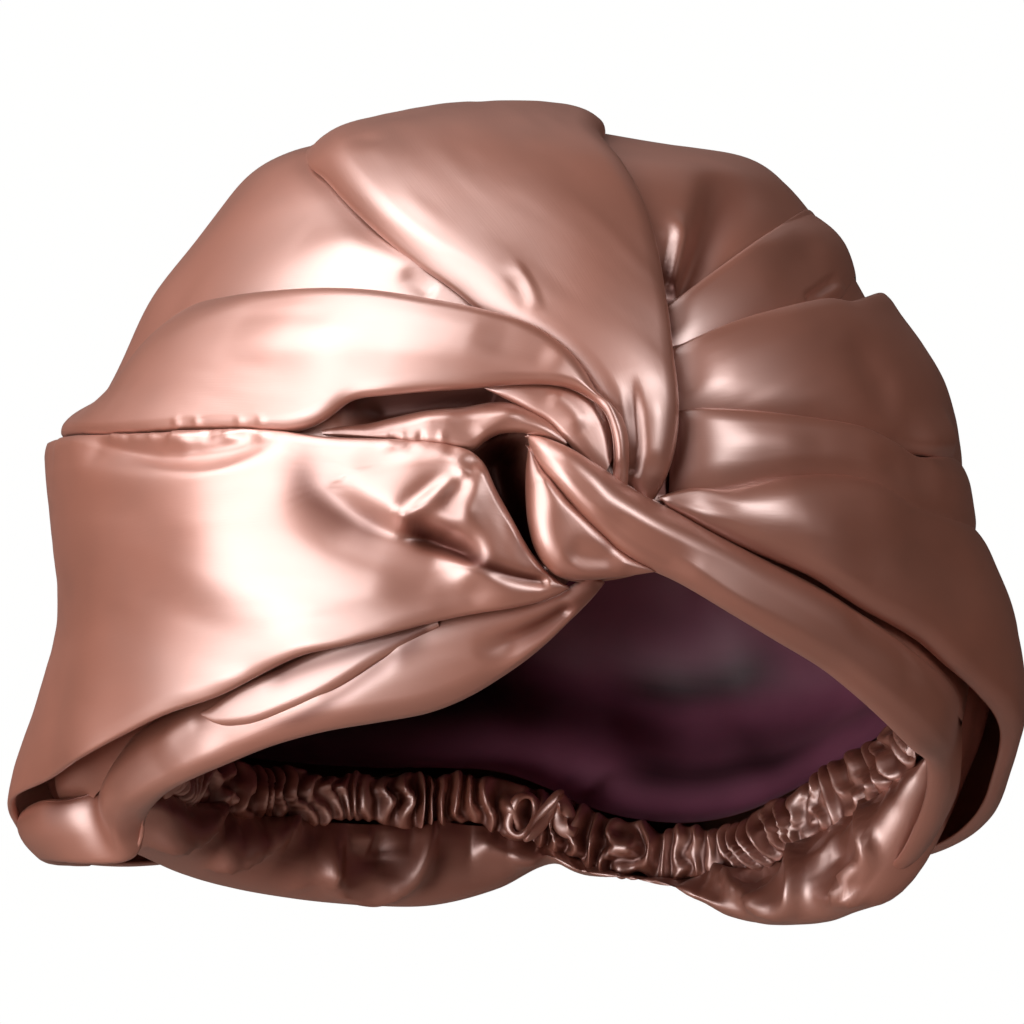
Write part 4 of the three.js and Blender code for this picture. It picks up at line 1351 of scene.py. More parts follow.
    def knot_wrap(self) -> None:
        """Short wrap that closes the knot under the strand; a is its free edge along the knot's hollow."""
        stations = [
            S((3.8, 61.8), (6.1, 59), 6.4, 0.4, 4, 2),
            S((3.3, 56.6), (9.4, 54.3), 8.6, 0.8, 5, 2.6),
            S((3.3, 50.5), (13.7, 49.6), 9.2),
            S((3.8, 44.4), (18.4, 45.3), 9.6),
            S((5.4, 38.2), (22.2, 41.5), 9.6),
            S((8.3, 33.5), (26, 37.8), 9.2),
            S((12, 30.9), (30.2, 35.4), 8.6),
            S((17.9, 30.4), (33.5, 34), 7.8, 0.8, 6, 3.2),
            S((24.1, 31.2), (35.9, 33.3), 7, 0.6, 5, 2.6),
            S((30.4, 32.8), (37.3, 33), 6.4, 0.4, 4, 2),
        ]
        folds = [
            even([(7.6, 56.6), (10.4, 49.6), (14.2, 43.9)], 0.8, (3, 4), (0.2, 0.5)),
            even([(11.3, 38.2), (18.4, 36.3), (26.7, 35.4)], -1, 3),
        ]
        shades = [
            Fold([(7.8, 32.6), (18.4, 30.2), (30.2, 32.1)], 0.4, 3.4, 3, 0.2),
            even([(4.2, 62.3), (3.3, 49.6), (5.2, 38.2), (8.5, 33)], 0.6, (2, 1.6), (0.02, 0.2)),
            Fold([(6.6, 60.9), (11.3, 52.9), (18.9, 44.8), (30.2, 36.3)], 0.45, 2.4, 1.8, (0.1, 0.2)),
        ]
        Panel(
            "knot_wrap_cloth", stations, folds, shades, lift=9, belly=1.2, roll_a=6, drop_a=3, roll_b=4,
            drop_b=1.5, lip_a=2.2, lip_b=0.8, turn_a=170, doubled=True, columns=120, face_rows=44, seed=8,
            crumple=0.15, flat=(0.02, 0.05),
        ).make()


# ------------ the bands and hems
@dataclass
class Bands:
    """The two front bands, the tuck below the left one and the rolled left hem of the opening."""

    def make(self) -> None:
        """Every band."""
        for maker in (self.left_band, self.left_fold, self.left_hem, self.right_band):
            maker()

    def left_band(self) -> None:
        """Front band on the left, from the twist round to the nape; a is its top edge."""
        stations = [
            S((10.6, 30.9), (13.7, 28.6), 4.2, 0.2, 2, 1, 2, 1),
            S((8, 32.8), (9.4, 26.2), 5.4, 0.4, 2.5, 1.2, 3, 1),
            S((3.5, 38.9), (2.8, 24.5), 6.8, 0.6, 2.5, 1.4, 4, 1),
            S((-0.5, 46.3), (-5.2, 23.1), 7.8, 1, 2.5, 1.4),
            S((-4.2, 52.9), (-14.2, 21.5), 8.2, 1.4, 2.5, 1.4),
            S((-6.8, 59), (-23.6, 19.4), 7.8, 1.8, 2.5, 1.2, 5, 1.2, 0.6),
            S((-11.8, 62.1), (-31.2, 17.5), 7, 2, 3, 0.9, 5, 1.2, 1.4),
            S((-20.8, 63.5), (-39.4, 15.3), 6.2, 2, 3, 0.9, 4, 0.8, 2.4),
            S((-32.3, 64.2), (-48.9, 13.2), 5.6, 2, 3, 0.9, 4, 0.8, 3.4),
            S((-44.8, 64.7), (-59, 8.5), 5.2, 1.8, 3, 0.9, 4, 0.8, 4.4),
            S((-57.6, 66.3), (-69.4, 3.1), 5, 1.6, 3, 0.9, 5, 1, 5),
            S((-71.3, 66.3), (-81.9, -1.2), 5, 1.2, 3, 0.9, 5, 1, 5),
            S((-84.3, 65.6), (-93, -6.6), 4.8, 0.6, 3, 0.9, 5, 1, 4.6),
            S((-96.3, 65.4), (-103.4, -12.3), 4.6, -0.2, 3, 0.9, 5, 1, 4),
            S((-104.8, 64.9), (-113.3, -18.6), 4.6, -0.6),
            S((-110.2, 0, 63.5), (-119.5, -12, -22), OWN, -3.4, 5, 0.8, 6, 0.8),
            S((-107.5, 30, 62), (-118, 8, -28.5), OWN, -2.2, 5, 0.8, 6, 0.8),
            S((-98, 55, 59), (-112.5, 32, -34), OWN, -0.5, 6, 1, 6, 0.8),
            S((-80, 81, 52), (-98.5, 60, -38.5), OWN, 1, 6, 1.2, 6, 0.8),
            S((-59, 102, 37), (-76, 89, -36.5), OWN, 1, 6, 1.4, 6, 0.8),
            S((-38, 113, 17), (-46, 108, -24), 3.6, 1),
            S((-18, 117, 2), (-22, 116, -17), 2.6, 0.6, 4, 1, 4, 1),
            S((1, 118, -5), (1, 118, -14), 1.4, 0.2, 3, 0.6, 3, 0.6),
        ]
        shades = [
            Fold([(-27.4, 43.9), (-19.4, 39.9), (-10.4, 36.1), (-0.9, 32.3), (8.5, 30.2)],
                 1, (5.4, 1), (1.8, 0.7), (0.15, 0.1)),
            Fold([(-44.8, 62.8), (-48.1, 54.8), (-43, 47), (-27.4, 42)], 0.6, (5, 4), 4, (0.25, 0.2)),
            even([(-14.6, 54.3), (-14.2, 48.4), (-11.8, 41.3)], 0.35, (3, 3.4), (0.3, 0.2)),
            even([(-6.1, 56.6), (-1.9, 46.7), (2.8, 37.3), (7.8, 30.7)], 0.3, 1.2, (0.2, 0.1)),
        ]
        Panel(
            "left_band_cloth", stations, shades=shades, lift=6, belly=2, roll_a=3, drop_a=0.9, roll_b=5,
            drop_b=1.2, lip_a=0.7, lip_b=1.2, turn_a=120, turn_b=170, doubled=True, columns=330, face_rows=120,
            seed=9, crumple=0.3, gathers=0.3, flat=(0.085, 0.36),
            folds=self.seam_folds() + self.pocket_folds() + self.broad_folds(),
        ).make()

    def seam_folds(self) -> list[Fold]:
        """The sagging fold below the left band's top edge, and the small puckers along that edge.

        Returns:
            The folds.
        """
        lens = [
            Fold([(-103.8, 63.7), (-96.3, 61.6), (-85.4, 60.2), (-71.3, 60.4), (-59.9, 62.8), (-51.9, 65.4)],
                 -2.4, 3, 4, 0.2),
            Fold([(-104.8, 64.2), (-100.1, 62.1), (-89.4, 58.3), (-81.2, 55.9), (-68.7, 55.7), (-59, 59.2),
                  (-52.4, 62.8)],
                 1.1, 1.8, 7, (0.2, 0.3)),
            even([(-80.2, 65.6), (-76.9, 63.7), (-74.1, 61.6)], 0.8, 2.4, (0.1, 0.5)),
        ]
        puckers = [
            even([(x, 65.8), (x + 0.9, 64.2), (x + 1.4, 62.3)], height, (1.2, 1.6), (0.05, 0.6))
            for x, height in (
                (-95.3, 0.5), (-91.6, -0.5), (-85.4, 0.4), (-71.7, -0.5), (-67, 0.5), (-62.8, -0.4), (-59, 0.4))
        ]
        gathers = [
            even([(x, top), (x + 0.2, top - 1.7), (x + 0.9, top - 4.5)], height, (1, 1.6), (0.05, 0.6))
            for x, top, height in ((-28.7, 64.1, 0.4), (-23.6, 63.6, -0.5), (-14, 62.7, -0.7), (-9.6, 62.2, 0.6))
        ]
        return lens + puckers + gathers

    def pocket_folds(self) -> list[Fold]:
        """The folds that run from the left band's gathers to the knot, with the deep pocket between them.

        Returns:
            The folds.
        """
        return [
            even([(-8, 59.5), (-17, 58.1), (-25.3, 56.4), (-33, 53.3)], 1.2, (3, 5), (0.15, 0.5)),
            Fold([(-9.4, 56.2), (-17, 53.1), (-21.7, 49.8), (-26.2, 45.1)], -1.5, (3.2, 3.6), (1.8, 2.2), 0.2),
            Fold([(-9, 57.3), (-13.5, 53.8), (-17.9, 49.6), (-22.7, 46.3), (-26.9, 43.9)],
                 2.2, (1.9, 2.2), (2.6, 2.4), 0.15),
            Fold([(-6.6, 57.6), (-8, 51.9), (-9.9, 46.3), (-9, 40.1)], 1.6, (3.4, 3), 3, (0.15, 0.4)),
            Fold([(-26.9, 43), (-19.8, 39.9), (-12.7, 37.5), (-5.2, 34)], -5, (5, 3.2), (2, 1.4), (0.35, 0.3)),
            Fold([(-8.5, 35.4), (-2.8, 33), (2.8, 31.4), (8.5, 30.4)], -1.6, (1.8, 1.2), (2, 1.4), (0.4, 0.05)),
        ]

    def broad_folds(self) -> list[Fold]:
        """The left band's broad bulge, the wide valley beside it, and the lift of its lower edge.

        Returns:
            The folds.
        """
        return [
            Fold([(-65.1, 54.3), (-67, 38.9), (-69.9, 20.1)], 2, (17, 16), 16, 0.4),
            Fold([(-42, 63.7), (-44.8, 57.6), (-44.4, 51.4), (-39.6, 46.3), (-32.6, 42.5), (-24.1, 39.4),
                  (-16, 36.8), (-8, 33.7)],
                 -5, (7.5, 4), (7.5, 4.5), (0.45, 0.2)),
            Fold([(-31.2, 31.9), (-17, 27.8), (-0.5, 27.4)], -1.6, (7, 4), (5, 3), (0.4, 0.3)),
            Fold([(-59, 9), (-53.8, 12.5), (-45.8, 15.3), (-35.2, 17.2), (-22.4, 19.4), (-14.6, 21)],
                 2.2, (5, 3), (1.3, 0.9), (0.4, 0.3)),
        ]

    def left_fold(self) -> None:
        """Slim tuck below the left band; b is its lower edge."""
        stations = [
            S((-17.5, 21.7), (-17, 19.8), 3.2, 0.1, 1, 0.3, 1.5, 0.4, 0.4),
            S((-25, 19.8), (-23.8, 16), 3.2, 0.2, 2, 0.5, 2, 0.8, 0.9),
            S((-33.5, 17.9), (-31.6, 11.3), 3.3, 0.3, 2, 0.5, 3, 1, 1.2),
            S((-41.1, 16), (-38.2, 6.8), 3.4, flare=1.1),
            S((-48.9, 13), (-45.8, 2.4), 3.4, flare=1.1),
            S((-56.2, 9.4), (-53.6, -0.9), 3.4, flare=1.1),
            S((-62.5, 6.8), (-60.9, -3.5), 3.2, flare=1),
            S((-67.5, 3.5), (-66.1, -4.2), 3.1, flare=0.7),
            S((-71, 0.9), (-70.1, -3.1), 2.9, 0.1, 2, 0.5, 2, 0.6, 0.5),
            S((-72.9, 0), (-72.5, -1.4), 2.6, 0.1, 1, 0.3, 1, 0.3, 0.3),
        ]
        Panel(
            "left_fold_cloth", stations, lift=3.4, belly=0.5, roll_a=2, drop_a=0.5, roll_b=3, drop_b=1.3, lip_a=0.5,
            lip_b=0.6, turn_b=160, columns=170, face_rows=36, seed=10, crumple=0.15, flat=(0.013, 0.052),
            rests_on=("left_hem_cloth",),
            shades=[
                Fold([(-59, 6.6), (-50, 9.9), (-38.2, 13.7), (-18.4, 19.6)], 0.75, (3, 2), (2.6, 1.4), (0.15, 0.05)),
            ],
        ).make()

    def left_hem(self) -> None:
        """Rolled hem of the opening on the left; b is the rim."""
        stations = [
            S((18.4, 32.1), (22.2, 30), 3.4, 0.2, 3, 1, 3, 1.4),
            S((13.2, 28.8), (18.9, 25.5), 3.4, 0.6, 4, 1.4, 4, 2),
            S((7.8, 26.4), (14.2, 20.8), 3.4),
            S((0, 24.8), (7.8, 14.6), 3.4),
            S((-7.6, 23.4), (0, 8.5), 3.4),
            S((-15.8, 22.2), (-9.4, 2.6), 3.4),
            S((-25.3, 20.8), (-19.8, -1.7), 3.3),
            S((-34.7, 18.4), (-32.1, -4), 3.2),
            S((-44.1, 15.3), (-44.8, -6.1), 3),
            S((-53.6, 11.1), (-57.1, -9.4), 2.6),
            S((-63, 6.6), (-67.5, -13.5), 1.8),
            S((-72, 3.1), (-76.2, -17.2), 0.6),
            S((-80.2, -0.2), (-83.1, -20.8), -1.2),
            S((-87.1, -4), (-87.6, -24.8), -3.2),
            S((-92, -8.3), (-89.9, -28.8), -5.4, 0.8, 6, 2, 6, 2.4),
            S((-97.5, -25, -19), (-91.5, -27, -37), OWN, 0.6, 4, 1, 4, 1.6),
            S((-105, -19, -21.6), (-99, -19, -37.5), OWN, 0.2, 3, 0.6, 3, 1),
            S((-112.3, -10, -22), (-106.5, -7, -37), OWN, 0, 3, 0.3, 3, 0.6),
            S((-116.8, 3, -25), (-111, 8, -36.5), OWN, 0, 3, 0.2, 3, 0.4),
            S((-113.5, 28, -30.5), (-108, 32, -38), OWN, 0, 3, 0.2, 3, 0.4),
            S((-103, 50, -36), (-101, 52, -38), OWN, 0, 2, 0.2, 2, 0.2),
        ]
        folds = [
            Fold([(14.9, 25), (8.5, 20.8), (-0.5, 16.5), (-9.4, 13.7)], -2.6, (2, 3.6), (1.6, 3.6), (0.12, 0.4)),
            even([(16.8, 25), (10.4, 18.9), (2.8, 13.2), (-5.2, 7.1)], 0.9, (1.4, 2.5), (0.15, 0.4)),
            Fold([(-25.5, 15.3), (-33.5, 11.3), (-40.6, 6.6), (-44.8, 1.9)], -1.2, 3, (3, 4), (0.3, 0.4)),
            Fold([(-74.6, 0.5), (-77.9, -1.4), (-83.1, -6.6), (-87.1, -13.7)], 1, (3, 5), (2, 4), (0.2, 0.5)),
            even([(-65.1, -9), (-76, -11.8), (-83.1, -17.9)], 0.6, 5, 0.4),
        ]
        shades = [
            Fold([(21.7, 31.2), (15.1, 25.5), (6.6, 19.8), (-5.2, 14.2)], 0.65, (2, 3), (2.4, 4), (0.1, 0.4)),
            Fold([(-61.8, -4.2), (-50, -0.9), (-40.1, 4.2), (-29.7, 11.8), (-18.4, 18.9)],
                 0.65, (1.2, 1.4), (1.4, 3), (0.3, 0.1)),
            even([(-93, -32, -7), (-101, -24, -15), (-110, -12, -24)], 0.7, 5, (0.3, 0.2)),
        ]
        Panel(
            "left_hem_cloth", stations, folds, shades, lift=3.2, belly=1, roll_a=7, drop_a=1.6, roll_b=7,
            drop_b=2.4, lip_a=0.8, lip_b=1.8, turn_b=178, doubled=True, columns=280, face_rows=66, seed=11,
            flat=(0.026, 0.18), lowest=-30,
        ).make()

    def right_band(self) -> None:
        """Front band on the right, from the twist round to the nape; a is its top edge."""
        stations = [
            S((34.7, 50.3), (36.6, 48.4), 4.6, 0.3, 3, 1.4, 3, 1.2),
            S((40.1, 52.2), (43, 44.6), 5.8, 0.8, 4, 1.6, 4, 1.6),
            S((45.8, 52.9), (50.3, 40.8), 6.4, 1.4, 4, 1.8),
            S((51.2, 52.4), (57.3, 37.5), 6.8, roll_a=5, drop_a=2),
            S((57.3, 53.8), (64.7, 34.5), 7),
            S((64.4, 55.5), (72, 31.2), 7),
            S((72.2, 56.2), (78.6, 27.1), 6.6),
            S((80, 56.2), (85, 23.1), 6),
            S((87.8, 54.8), (91.6, 19.6), 5.6),
            S((95.1, 51.7), (98.6, 15.3), 5.2),
            S((101, 48.9), (104.8, 9.7), 5),
            S((106, 46.5), (111.6, 3.8), 5, roll_a=6, drop_a=1.6),
            S((109, 8, 42), (118, -12, -7), 6.4, roll_a=6, drop_a=1.6),
            S((108, 26, 41), (118, 6, -23), 5.8, roll_a=6, drop_a=1.6),
            S((100, 50, 40), (111, 32, -37), 5.6, flare=2),
            S((86, 74, 36), (100, 57, -43), 5.8, flare=3),
            S((64, 97, 26), (76, 86, -37), 5.4, flare=2),
            S((40, 112, 14), (48, 108, -23), 5, 1),
            S((19, 117, 2), (24, 116, -17), 4.4, 0.5, 4, 1, 4, 1),
            S((-6, 118, -7), (-6, 118, -13), 3.2, 0.2, 3, 0.8, 3, 0.8),
        ]
        folds = [
            even([(34.9, 48.6), (40.6, 49.8), (47.2, 48.9), (52.6, 46.7)], -1.4, (2, 4), (0.15, 0.5)),
            Fold([(45.8, 46.3), (58.5, 46.7), (72.7, 40.1), (84, 30.7)], 1.6, (9, 8), (8, 7), 0.4),
            even([(84, 51.9), (97.5, 38.9), (110.9, 18.9)], -1.4, (14, 12), 0.4),
        ]
        Panel(
            "right_band_cloth", stations, folds, lift=6, belly=2.2, roll_a=6, drop_a=2, roll_b=6, drop_b=2,
            lip_a=1, lip_b=1.3, turn_b=170, doubled=True, columns=300, face_rows=100, seed=12, crumple=0.3,
            flat=(0.058, 0.32), rests_on=("crown_cloth", "pleat_lower_cloth"),
        ).make()


# ------------ the crown's pleats
@dataclass
class Pleats:
    """Three pleats that fan out from the twist over the right of the crown."""

    def make(self) -> None:
        """Every pleat."""
        for maker in (self.upper, self.middle, self.lower):
            maker()

    def upper(self) -> None:
        """Upper pleat; a is its folded top edge and b is tucked under the middle one."""
        stations = [
            S((34, 93.9), (34.9, 85), 0.9, 0, 3, 0.3, 3, 0.3),
            S((36.1, 95.3), (37.8, 85.4), 1.4, 0.1, 3, 0.4, 4, 0.5),
            S((38.2, 96.8), (40.6, 86.1), 2.4, 0.3, 3, 0.5, 5, 0.9),
            S((41.1, 98.9), (44.4, 86.8), 3.6, 0.4),
            S((49.8, 105.3), (55, 90.2), 4),
            S((56.6, 110.2), (63.7, 92.7), 3.8),
            S((62.5, 114.7), (69.9, 93.9), 3.4, roll_a=8, drop_a=2.2),
            S((67, 117.5), (76.5, 95.8), 2.8, roll_a=14, drop_a=2.7),
            S((70, -8, 118), (82, -8, 103), 2.4, roll_a=14, drop_a=2.4),
            S((70, 22, 112), (80, 20, 99), 2, roll_a=12, drop_a=1.9, roll_b=8, drop_b=1.9),
            S((67, 48, 106), (74, 48, 96), 1.2, 0, 6, 1, 6, 1),
            S((60, 72, 97), (61, 72, 95), 0.3, 0, 2, 0.1, 2, 0.1),
        ]
        folds = [
            Fold([(68.9, 96.5), (73.2, 99.6), (77.2, 102.9)], -1.6, 1, 2, (0.1, 0.4)),
            even([(70.8, 96.1), (75, 98.6), (79.8, 100.1)], 0.8, 1.6, (0.2, 0.4)),
            even([(58.5, 96.8), (68, 105.7), (73.2, 110.9)], -1, 6, 0.4),
        ]
        shades = [
            even([(35.9, 94.9), (37.8, 86.1)], 0.9, (1.4, 1.8), 0.02),
            even([(42, 85.9), (53.8, 90.2), (68, 93.9)], 0.4, 1.6, (0.1, 0.4)),
        ]
        Panel(
            "pleat_upper_cloth", stations, folds, shades, lift=3.6, belly=0.4, roll_a=3, drop_a=0.7, roll_b=12,
            drop_b=1.8, lip_a=0.9, lip_b=0.4, turn_b=90, columns=160, face_rows=56, seed=13, flat=(0.024, 0.14),
        ).make()

    def middle(self) -> None:
        """Middle pleat; a is its folded top edge and b is tucked under the lower one."""
        stations = [
            S((34.9, 84), (35.9, 69.9), 1.2, 0, 3, 0.4, 4, 0.4),
            S((37.3, 85.2), (38.7, 69.6), 2, 0.2, 3, 0.5, 4, 0.6),
            S((39.6, 86.4), (41.5, 69.1), 3.4, 0.4, 4, 0.8, 6, 1.4),
            S((43, 88), (44.8, 68.9), 4.8, 0.8),
            S((47.2, 89.9), (49.6, 68.7), 5.4),
            S((54.3, 92.7), (55.7, 68.2), 5.6),
            S((63.2, 95.3), (64.9, 67.3), 5.6),
            S((70.1, 97), (73.6, 66.1), 5.2),
            S((75.5, 97.9), (82.6, 64.2), 4.8, roll_b=8, drop_b=1.8),
            S((81.2, 97.2), (91.6, 60.9), 4, 1.2, roll_b=5, drop_b=1.2),
            S((83, 8, 95), (98, 8, 54), 5, 1.2, roll_b=5, drop_b=0.4),
            S((84, 40, 91), (95, 40, 54), 4.6, 0.8, 8, 2.6, 5, 0.4),
            S((74, 70, 83), (80, 70, 62), 1.8, 0.2, 8, 1.6, 8, 1.6),
            S((56, 95, 72), (57, 95, 69), 0.3, 0, 2, 0.1, 2, 0.1),
        ]
        folds = [
            Fold([(92.7, 64.2), (98.2, 62.5), (103.8, 63.7)], 2.6, 6, 3, (0.4, 0.3)),
            even([(86.8, 67.3), (92.7, 61.4), (99.8, 57.6)], -1, 3, 0.4),
            even([(77.4, 89.7), (86.8, 75.5), (91.6, 68.4)], -1.2, 8, 0.4),
        ]
        shades = [
            even([(37.3, 85), (38.7, 76.7), (39.2, 68.9)], 0.9, (1.4, 2.2), 0.02),
            even([(42, 68.9), (56.2, 68), (72.7, 66.1)], 0.45, 1.6, (0.1, 0.4)),
        ]
        Panel(
            "pleat_middle_cloth", stations, folds, shades, lift=5, belly=1, roll_a=4, drop_a=0.9, roll_b=10,
            drop_b=2.4, lip_a=1, lip_b=0.4, turn_b=90, columns=180, face_rows=70, seed=14, flat=(0.045, 0.18),
            rests_on=("crown_cloth", "pleat_upper_cloth"),
        ).make()

    def lower(self) -> None:
        """Lower pleat; a is its folded top edge and b is tucked under the right band."""
        stations = [
            S((36.3, 70.3), (36.8, 51), 1.4, 0, 3, 0.4, 4, 0.6),
            S((39.2, 70.8), (39.2, 51), 2.4, 0.2, 3, 0.5, 4, 0.8),
            S((41.5, 71.3), (42, 51), 4, 0.4, 4, 0.8, 6, 1.4),
            S((44.8, 71.5), (45.3, 51), 5.6, 0.6),
            S((49.1, 71.3), (49.1, 51), 6.2),
            S((56.2, 71), (55.5, 51.2), 6.4),
            S((65.6, 70.1), (63.7, 52.6), 6.4),
            S((74.3, 68.9), (72.2, 53.8), 6.2),
            S((82.6, 67.3), (81.2, 53.3), 5.8),
            S((90.6, 64), (89.2, 50.5), 6, roll_a=5, drop_a=0.9, roll_b=5, drop_b=1.4),
            S((97.7, 59.9), (97.7, 46.7), 6, 0.8, 6, 1, 5, 1),
            S((101, 4, 61), (103, 2, 40), 5, 0.8, 10, 3, 5, 0.8),
            S((95, 42, 61), (97, 40, 41), 4, 0.6, 10, 3, 6, 1),
            S((81, 68, 58), (84, 68, 46), 2, 0, 8, 1.6, 6, 1),
            S((66, 90, 51), (67, 90, 49), 0.3, 0, 2, 0.1, 2, 0.1),
        ]
        folds = [
            even([(44.4, 63.7), (58.5, 62.8), (72.7, 61.4)], 0.9, 5, 0.4),
            even([(82.1, 58.5), (92.7, 57.1), (101, 51.4)], -1.6, 6, 0.4),
        ]
        shades = [
            Fold([(39.2, 72.2), (39.6, 64.7), (38.9, 57.6), (36.8, 49.6)], 1, (2.2, 4), (2.6, 4), 0.02),
            even([(42, 50.5), (53.8, 50.5), (68, 53.3)], 0.5, 1.8, (0.1, 0.4)),
        ]
        Panel(
            "pleat_lower_cloth", stations, folds, shades, lift=5.4, belly=0.8, roll_a=4, drop_a=0.9, roll_b=8,
            drop_b=2.4, lip_a=0.9, lip_b=0.4, turn_b=90, columns=180, face_rows=60, seed=15, flat=(0.024, 0.15),
            rests_on=("crown_cloth", "pleat_middle_cloth"),
        ).make()


# ------------ studio
@dataclass(frozen=True)
class SoftLight:
    """A square soft light: where it stands and what it looks at, in metres, its side and its power."""

    name: str
    place: Point
    aim: Point
    side: Point
    power: float  # watts
    colour: Point = (0.95, 0.99, 1.0)

    def make(self) -> None:
        """Adds the light, turned so that it shines at its aim and is not itself seen."""
        lamp = bpy.data.lights.new(self.name, "AREA")
        lamp.shape = "RECTANGLE"
        lamp.size, lamp.size_y = self.side
        lamp.energy = self.power
        lamp.color = self.colour
        holder = add_object(self.name, lamp)
        holder.matrix_world = facing(self.place, self.aim)
        holder.visible_camera = False


def facing(place: Point, aim: Point) -> Matrix:
    """Matrix of an object whose -Z looks at an aim, with the world's +Z up.

    Args:
        place: where it stands, in metres.
        aim: what it looks at, in metres.

    Returns:
        The matrix.
    """
    back = unit_vectors(np.subtract(place, aim))
    right = unit_vectors(np.cross([0, 0, 1], back))
    matrix = np.eye(4)
    matrix[:3] = np.stack([right, np.cross(back, right), back, place], axis=1)
    return Matrix(matrix.tolist())


def two_ways(
    tree: NodeTree, lit: NodeSocket, seen: NodeSocket, end: Node,
) -> None:
    """Ends a node tree in one shader for what lights the wrap and another for what the eye meets straight on.

    Args:
        tree: the node tree.
        lit: shader for light on its way to the wrap.
        seen: shader for a straight look.
        end: the tree's output node.
    """
    straight = add_node(tree, "LightPath", "Is Camera Ray")
    fill(end, {"Surface": add_node(tree, "MixShader", "Shader", {"Fac": straight, 1: lit, 2: seen})})


@dataclass(frozen=True)
class Studio:
    """Pale floor, soft lights and the camera that looks straight at the face side, in metres."""

    distance: float = 8.0
    frame_width: float = 0.2422  # what the camera takes in at the middle of the wrap
    sensor: float = 36.0  # mm
    eye_height: float = 0.0467
    floor_radius: float = 2000.0  # mm
    floor_drop: float = -0.40
    ambient: float = 0.02

    def make(self) -> None:
        """Everything that the wrap is seen with."""
        self.floor()
        self.sky()
        self.camera()
        for light in (
            SoftLight("left_softbox", (-1.04, -0.79, 0.05), (0, 0, 0.03), (1.0, 1.3), 21.5),
            SoftLight("upper_softbox", (-0.72, -0.24, 1.00), (0, 0, 0.04), (0.95, 1.0), 18.0),
            SoftLight("right_softbox", (0.74, -0.82, 0.58), (0, 0, 0.04), (0.48, 0.60), 7.5),
            SoftLight("low_softbox", (-0.92, -0.86, -0.34), (0.09, -0.03, -0.03), (0.30, 0.16), 3.0),
            SoftLight("back_softbox", (0.2, 1.2, 1.2), (0, 0, 0.04), (1.0, 0.6), 0.4, (1.0, 1.0, 1.0)),
        ):
            light.make()
        bpy.context.scene.view_settings.view_transform = "Standard"

    def floor(self) -> None:
        """The pale round floor, below the wrap's lowest point: bright to the eye and dim as a light."""
        turn = np.linspace(0, 2 * np.pi, 96, endpoint=False)
        level = self.floor_radius * np.cos(turn), self.floor_radius * np.sin(turn)
        rim = np.stack([*level, 0 * turn + self.floor_drop / MM], axis=-1)
        mesh = bpy.data.meshes.new("floor")
        mesh.from_pydata((rim * MM).tolist(), [], [list(range(len(rim)))])
        floor = add_object("floor", mesh)
        paint = bpy.data.materials.new("pale_floor")
        paint.use_nodes = True
        tree = paint.node_tree
        shader = tree.nodes["Principled BSDF"]
        fill(shader, {"Base Color": (0.30, 0.20, 0.165, 1), "Roughness": 0.8})
        seen = add_node(tree, "Emission", "Emission", {"Color": (0.97, 0.965, 0.96, 1)})
        two_ways(tree, shader.outputs["BSDF"], seen, tree.nodes["Material Output"])
        mesh.materials.append(paint)

    def sky(self) -> None:
        """A white surround that is bright to the eye and dim as a light."""
        world = bpy.data.worlds.new("studio")
        world.use_nodes = True
        tree = world.node_tree
        glow = tree.nodes["Background"]
        fill(glow, {"Color": (1.0, 0.66, 0.54, 1), "Strength": self.ambient})
        seen = add_node(tree, "Background", "Background", {"Color": (1, 1, 0.995, 1), "Strength": 1.0})
        two_ways(tree, glow.outputs["Background"], seen, tree.nodes["World Output"])
        bpy.context.scene.world = world

    def camera(self) -> None:
        """The camera: level, far off, and framing the whole wrap."""
        data = bpy.data.cameras.new("camera")
        data.sensor_width = self.sensor
        data.lens = self.sensor * self.distance / self.frame_width
        data.clip_end = 5 * self.distance
        camera = add_object("camera", data)
        camera.matrix_world = facing((0, -self.distance, self.eye_height), (0, 0, self.eye_height))
        bpy.context.scene.camera = camera


# ------------ the wrap
def crown_folds() -> list[Fold]:
    """Folds of the crown that show beside the sweep and between the pleats.

    Returns:
        The folds.
    """
    return [
        Fold([(-83, -34, 99), (-86, 0, 97), (-82, 34, 95)], 2.4, 15, 13, 0.4),
        Fold([(36.8, 96.3), (38, 102.7), (39.2, 109.7), (40.1, 118.5)], 2.4, (2.6, 3.6), (2.6, 4.2), (0.1, 0.4)),
        Fold([(34.9, 99.1), (35.6, 104.3), (36.6, 109.5), (37.8, 114.2)], -1.4, 2, (1.8, 2), (0.2, 0.3)),
        Fold([(38.7, 95.8), (42, 102.9), (45.8, 111.4), (49.6, 121.3), (53.3, 128.6)],
             -4.2, (1.8, 7), (2.6, 8), (0.08, 0.45)),
        Fold([(-26, 103.8), (-23.1, 101.5), (-20.8, 99.8), (-18.4, 98.2)], -0.7, 1.5, 2.6, (0.4, 0.05)),
        Fold([(-50, 110.9), (-38.2, 108.6), (-26.4, 104.3), (-19.4, 100.3)], 0.9, (6, 4), (5, 3), (0.4, 0.2)),
        Fold([(-49.6, 131.5), (-44.4, 126.5), (-37.8, 118.9), (-30, 112.3), (-21.7, 105.7)], -0.8, 1.5, 4, (0.2, 0.3)),
        *knot_hollow(),
    ]


def knot_hollow() -> list[Fold]:
    """The hollow beside the knot and the one under the loop, in the crown and in the lining alike.

    Returns:
        The folds.
    """
    return [
        even([(-4.7, 63.7), (-2.4, 54.3), (1.4, 42.5), (6.6, 32.6)], -11, (7, 6), 0.12),
        even([(-41.8, 69.9), (-26.4, 72.5), (-14.6, 73.6), (-1.7, 71.3)], -8, 6, (0.25, 0.1)),
    ]


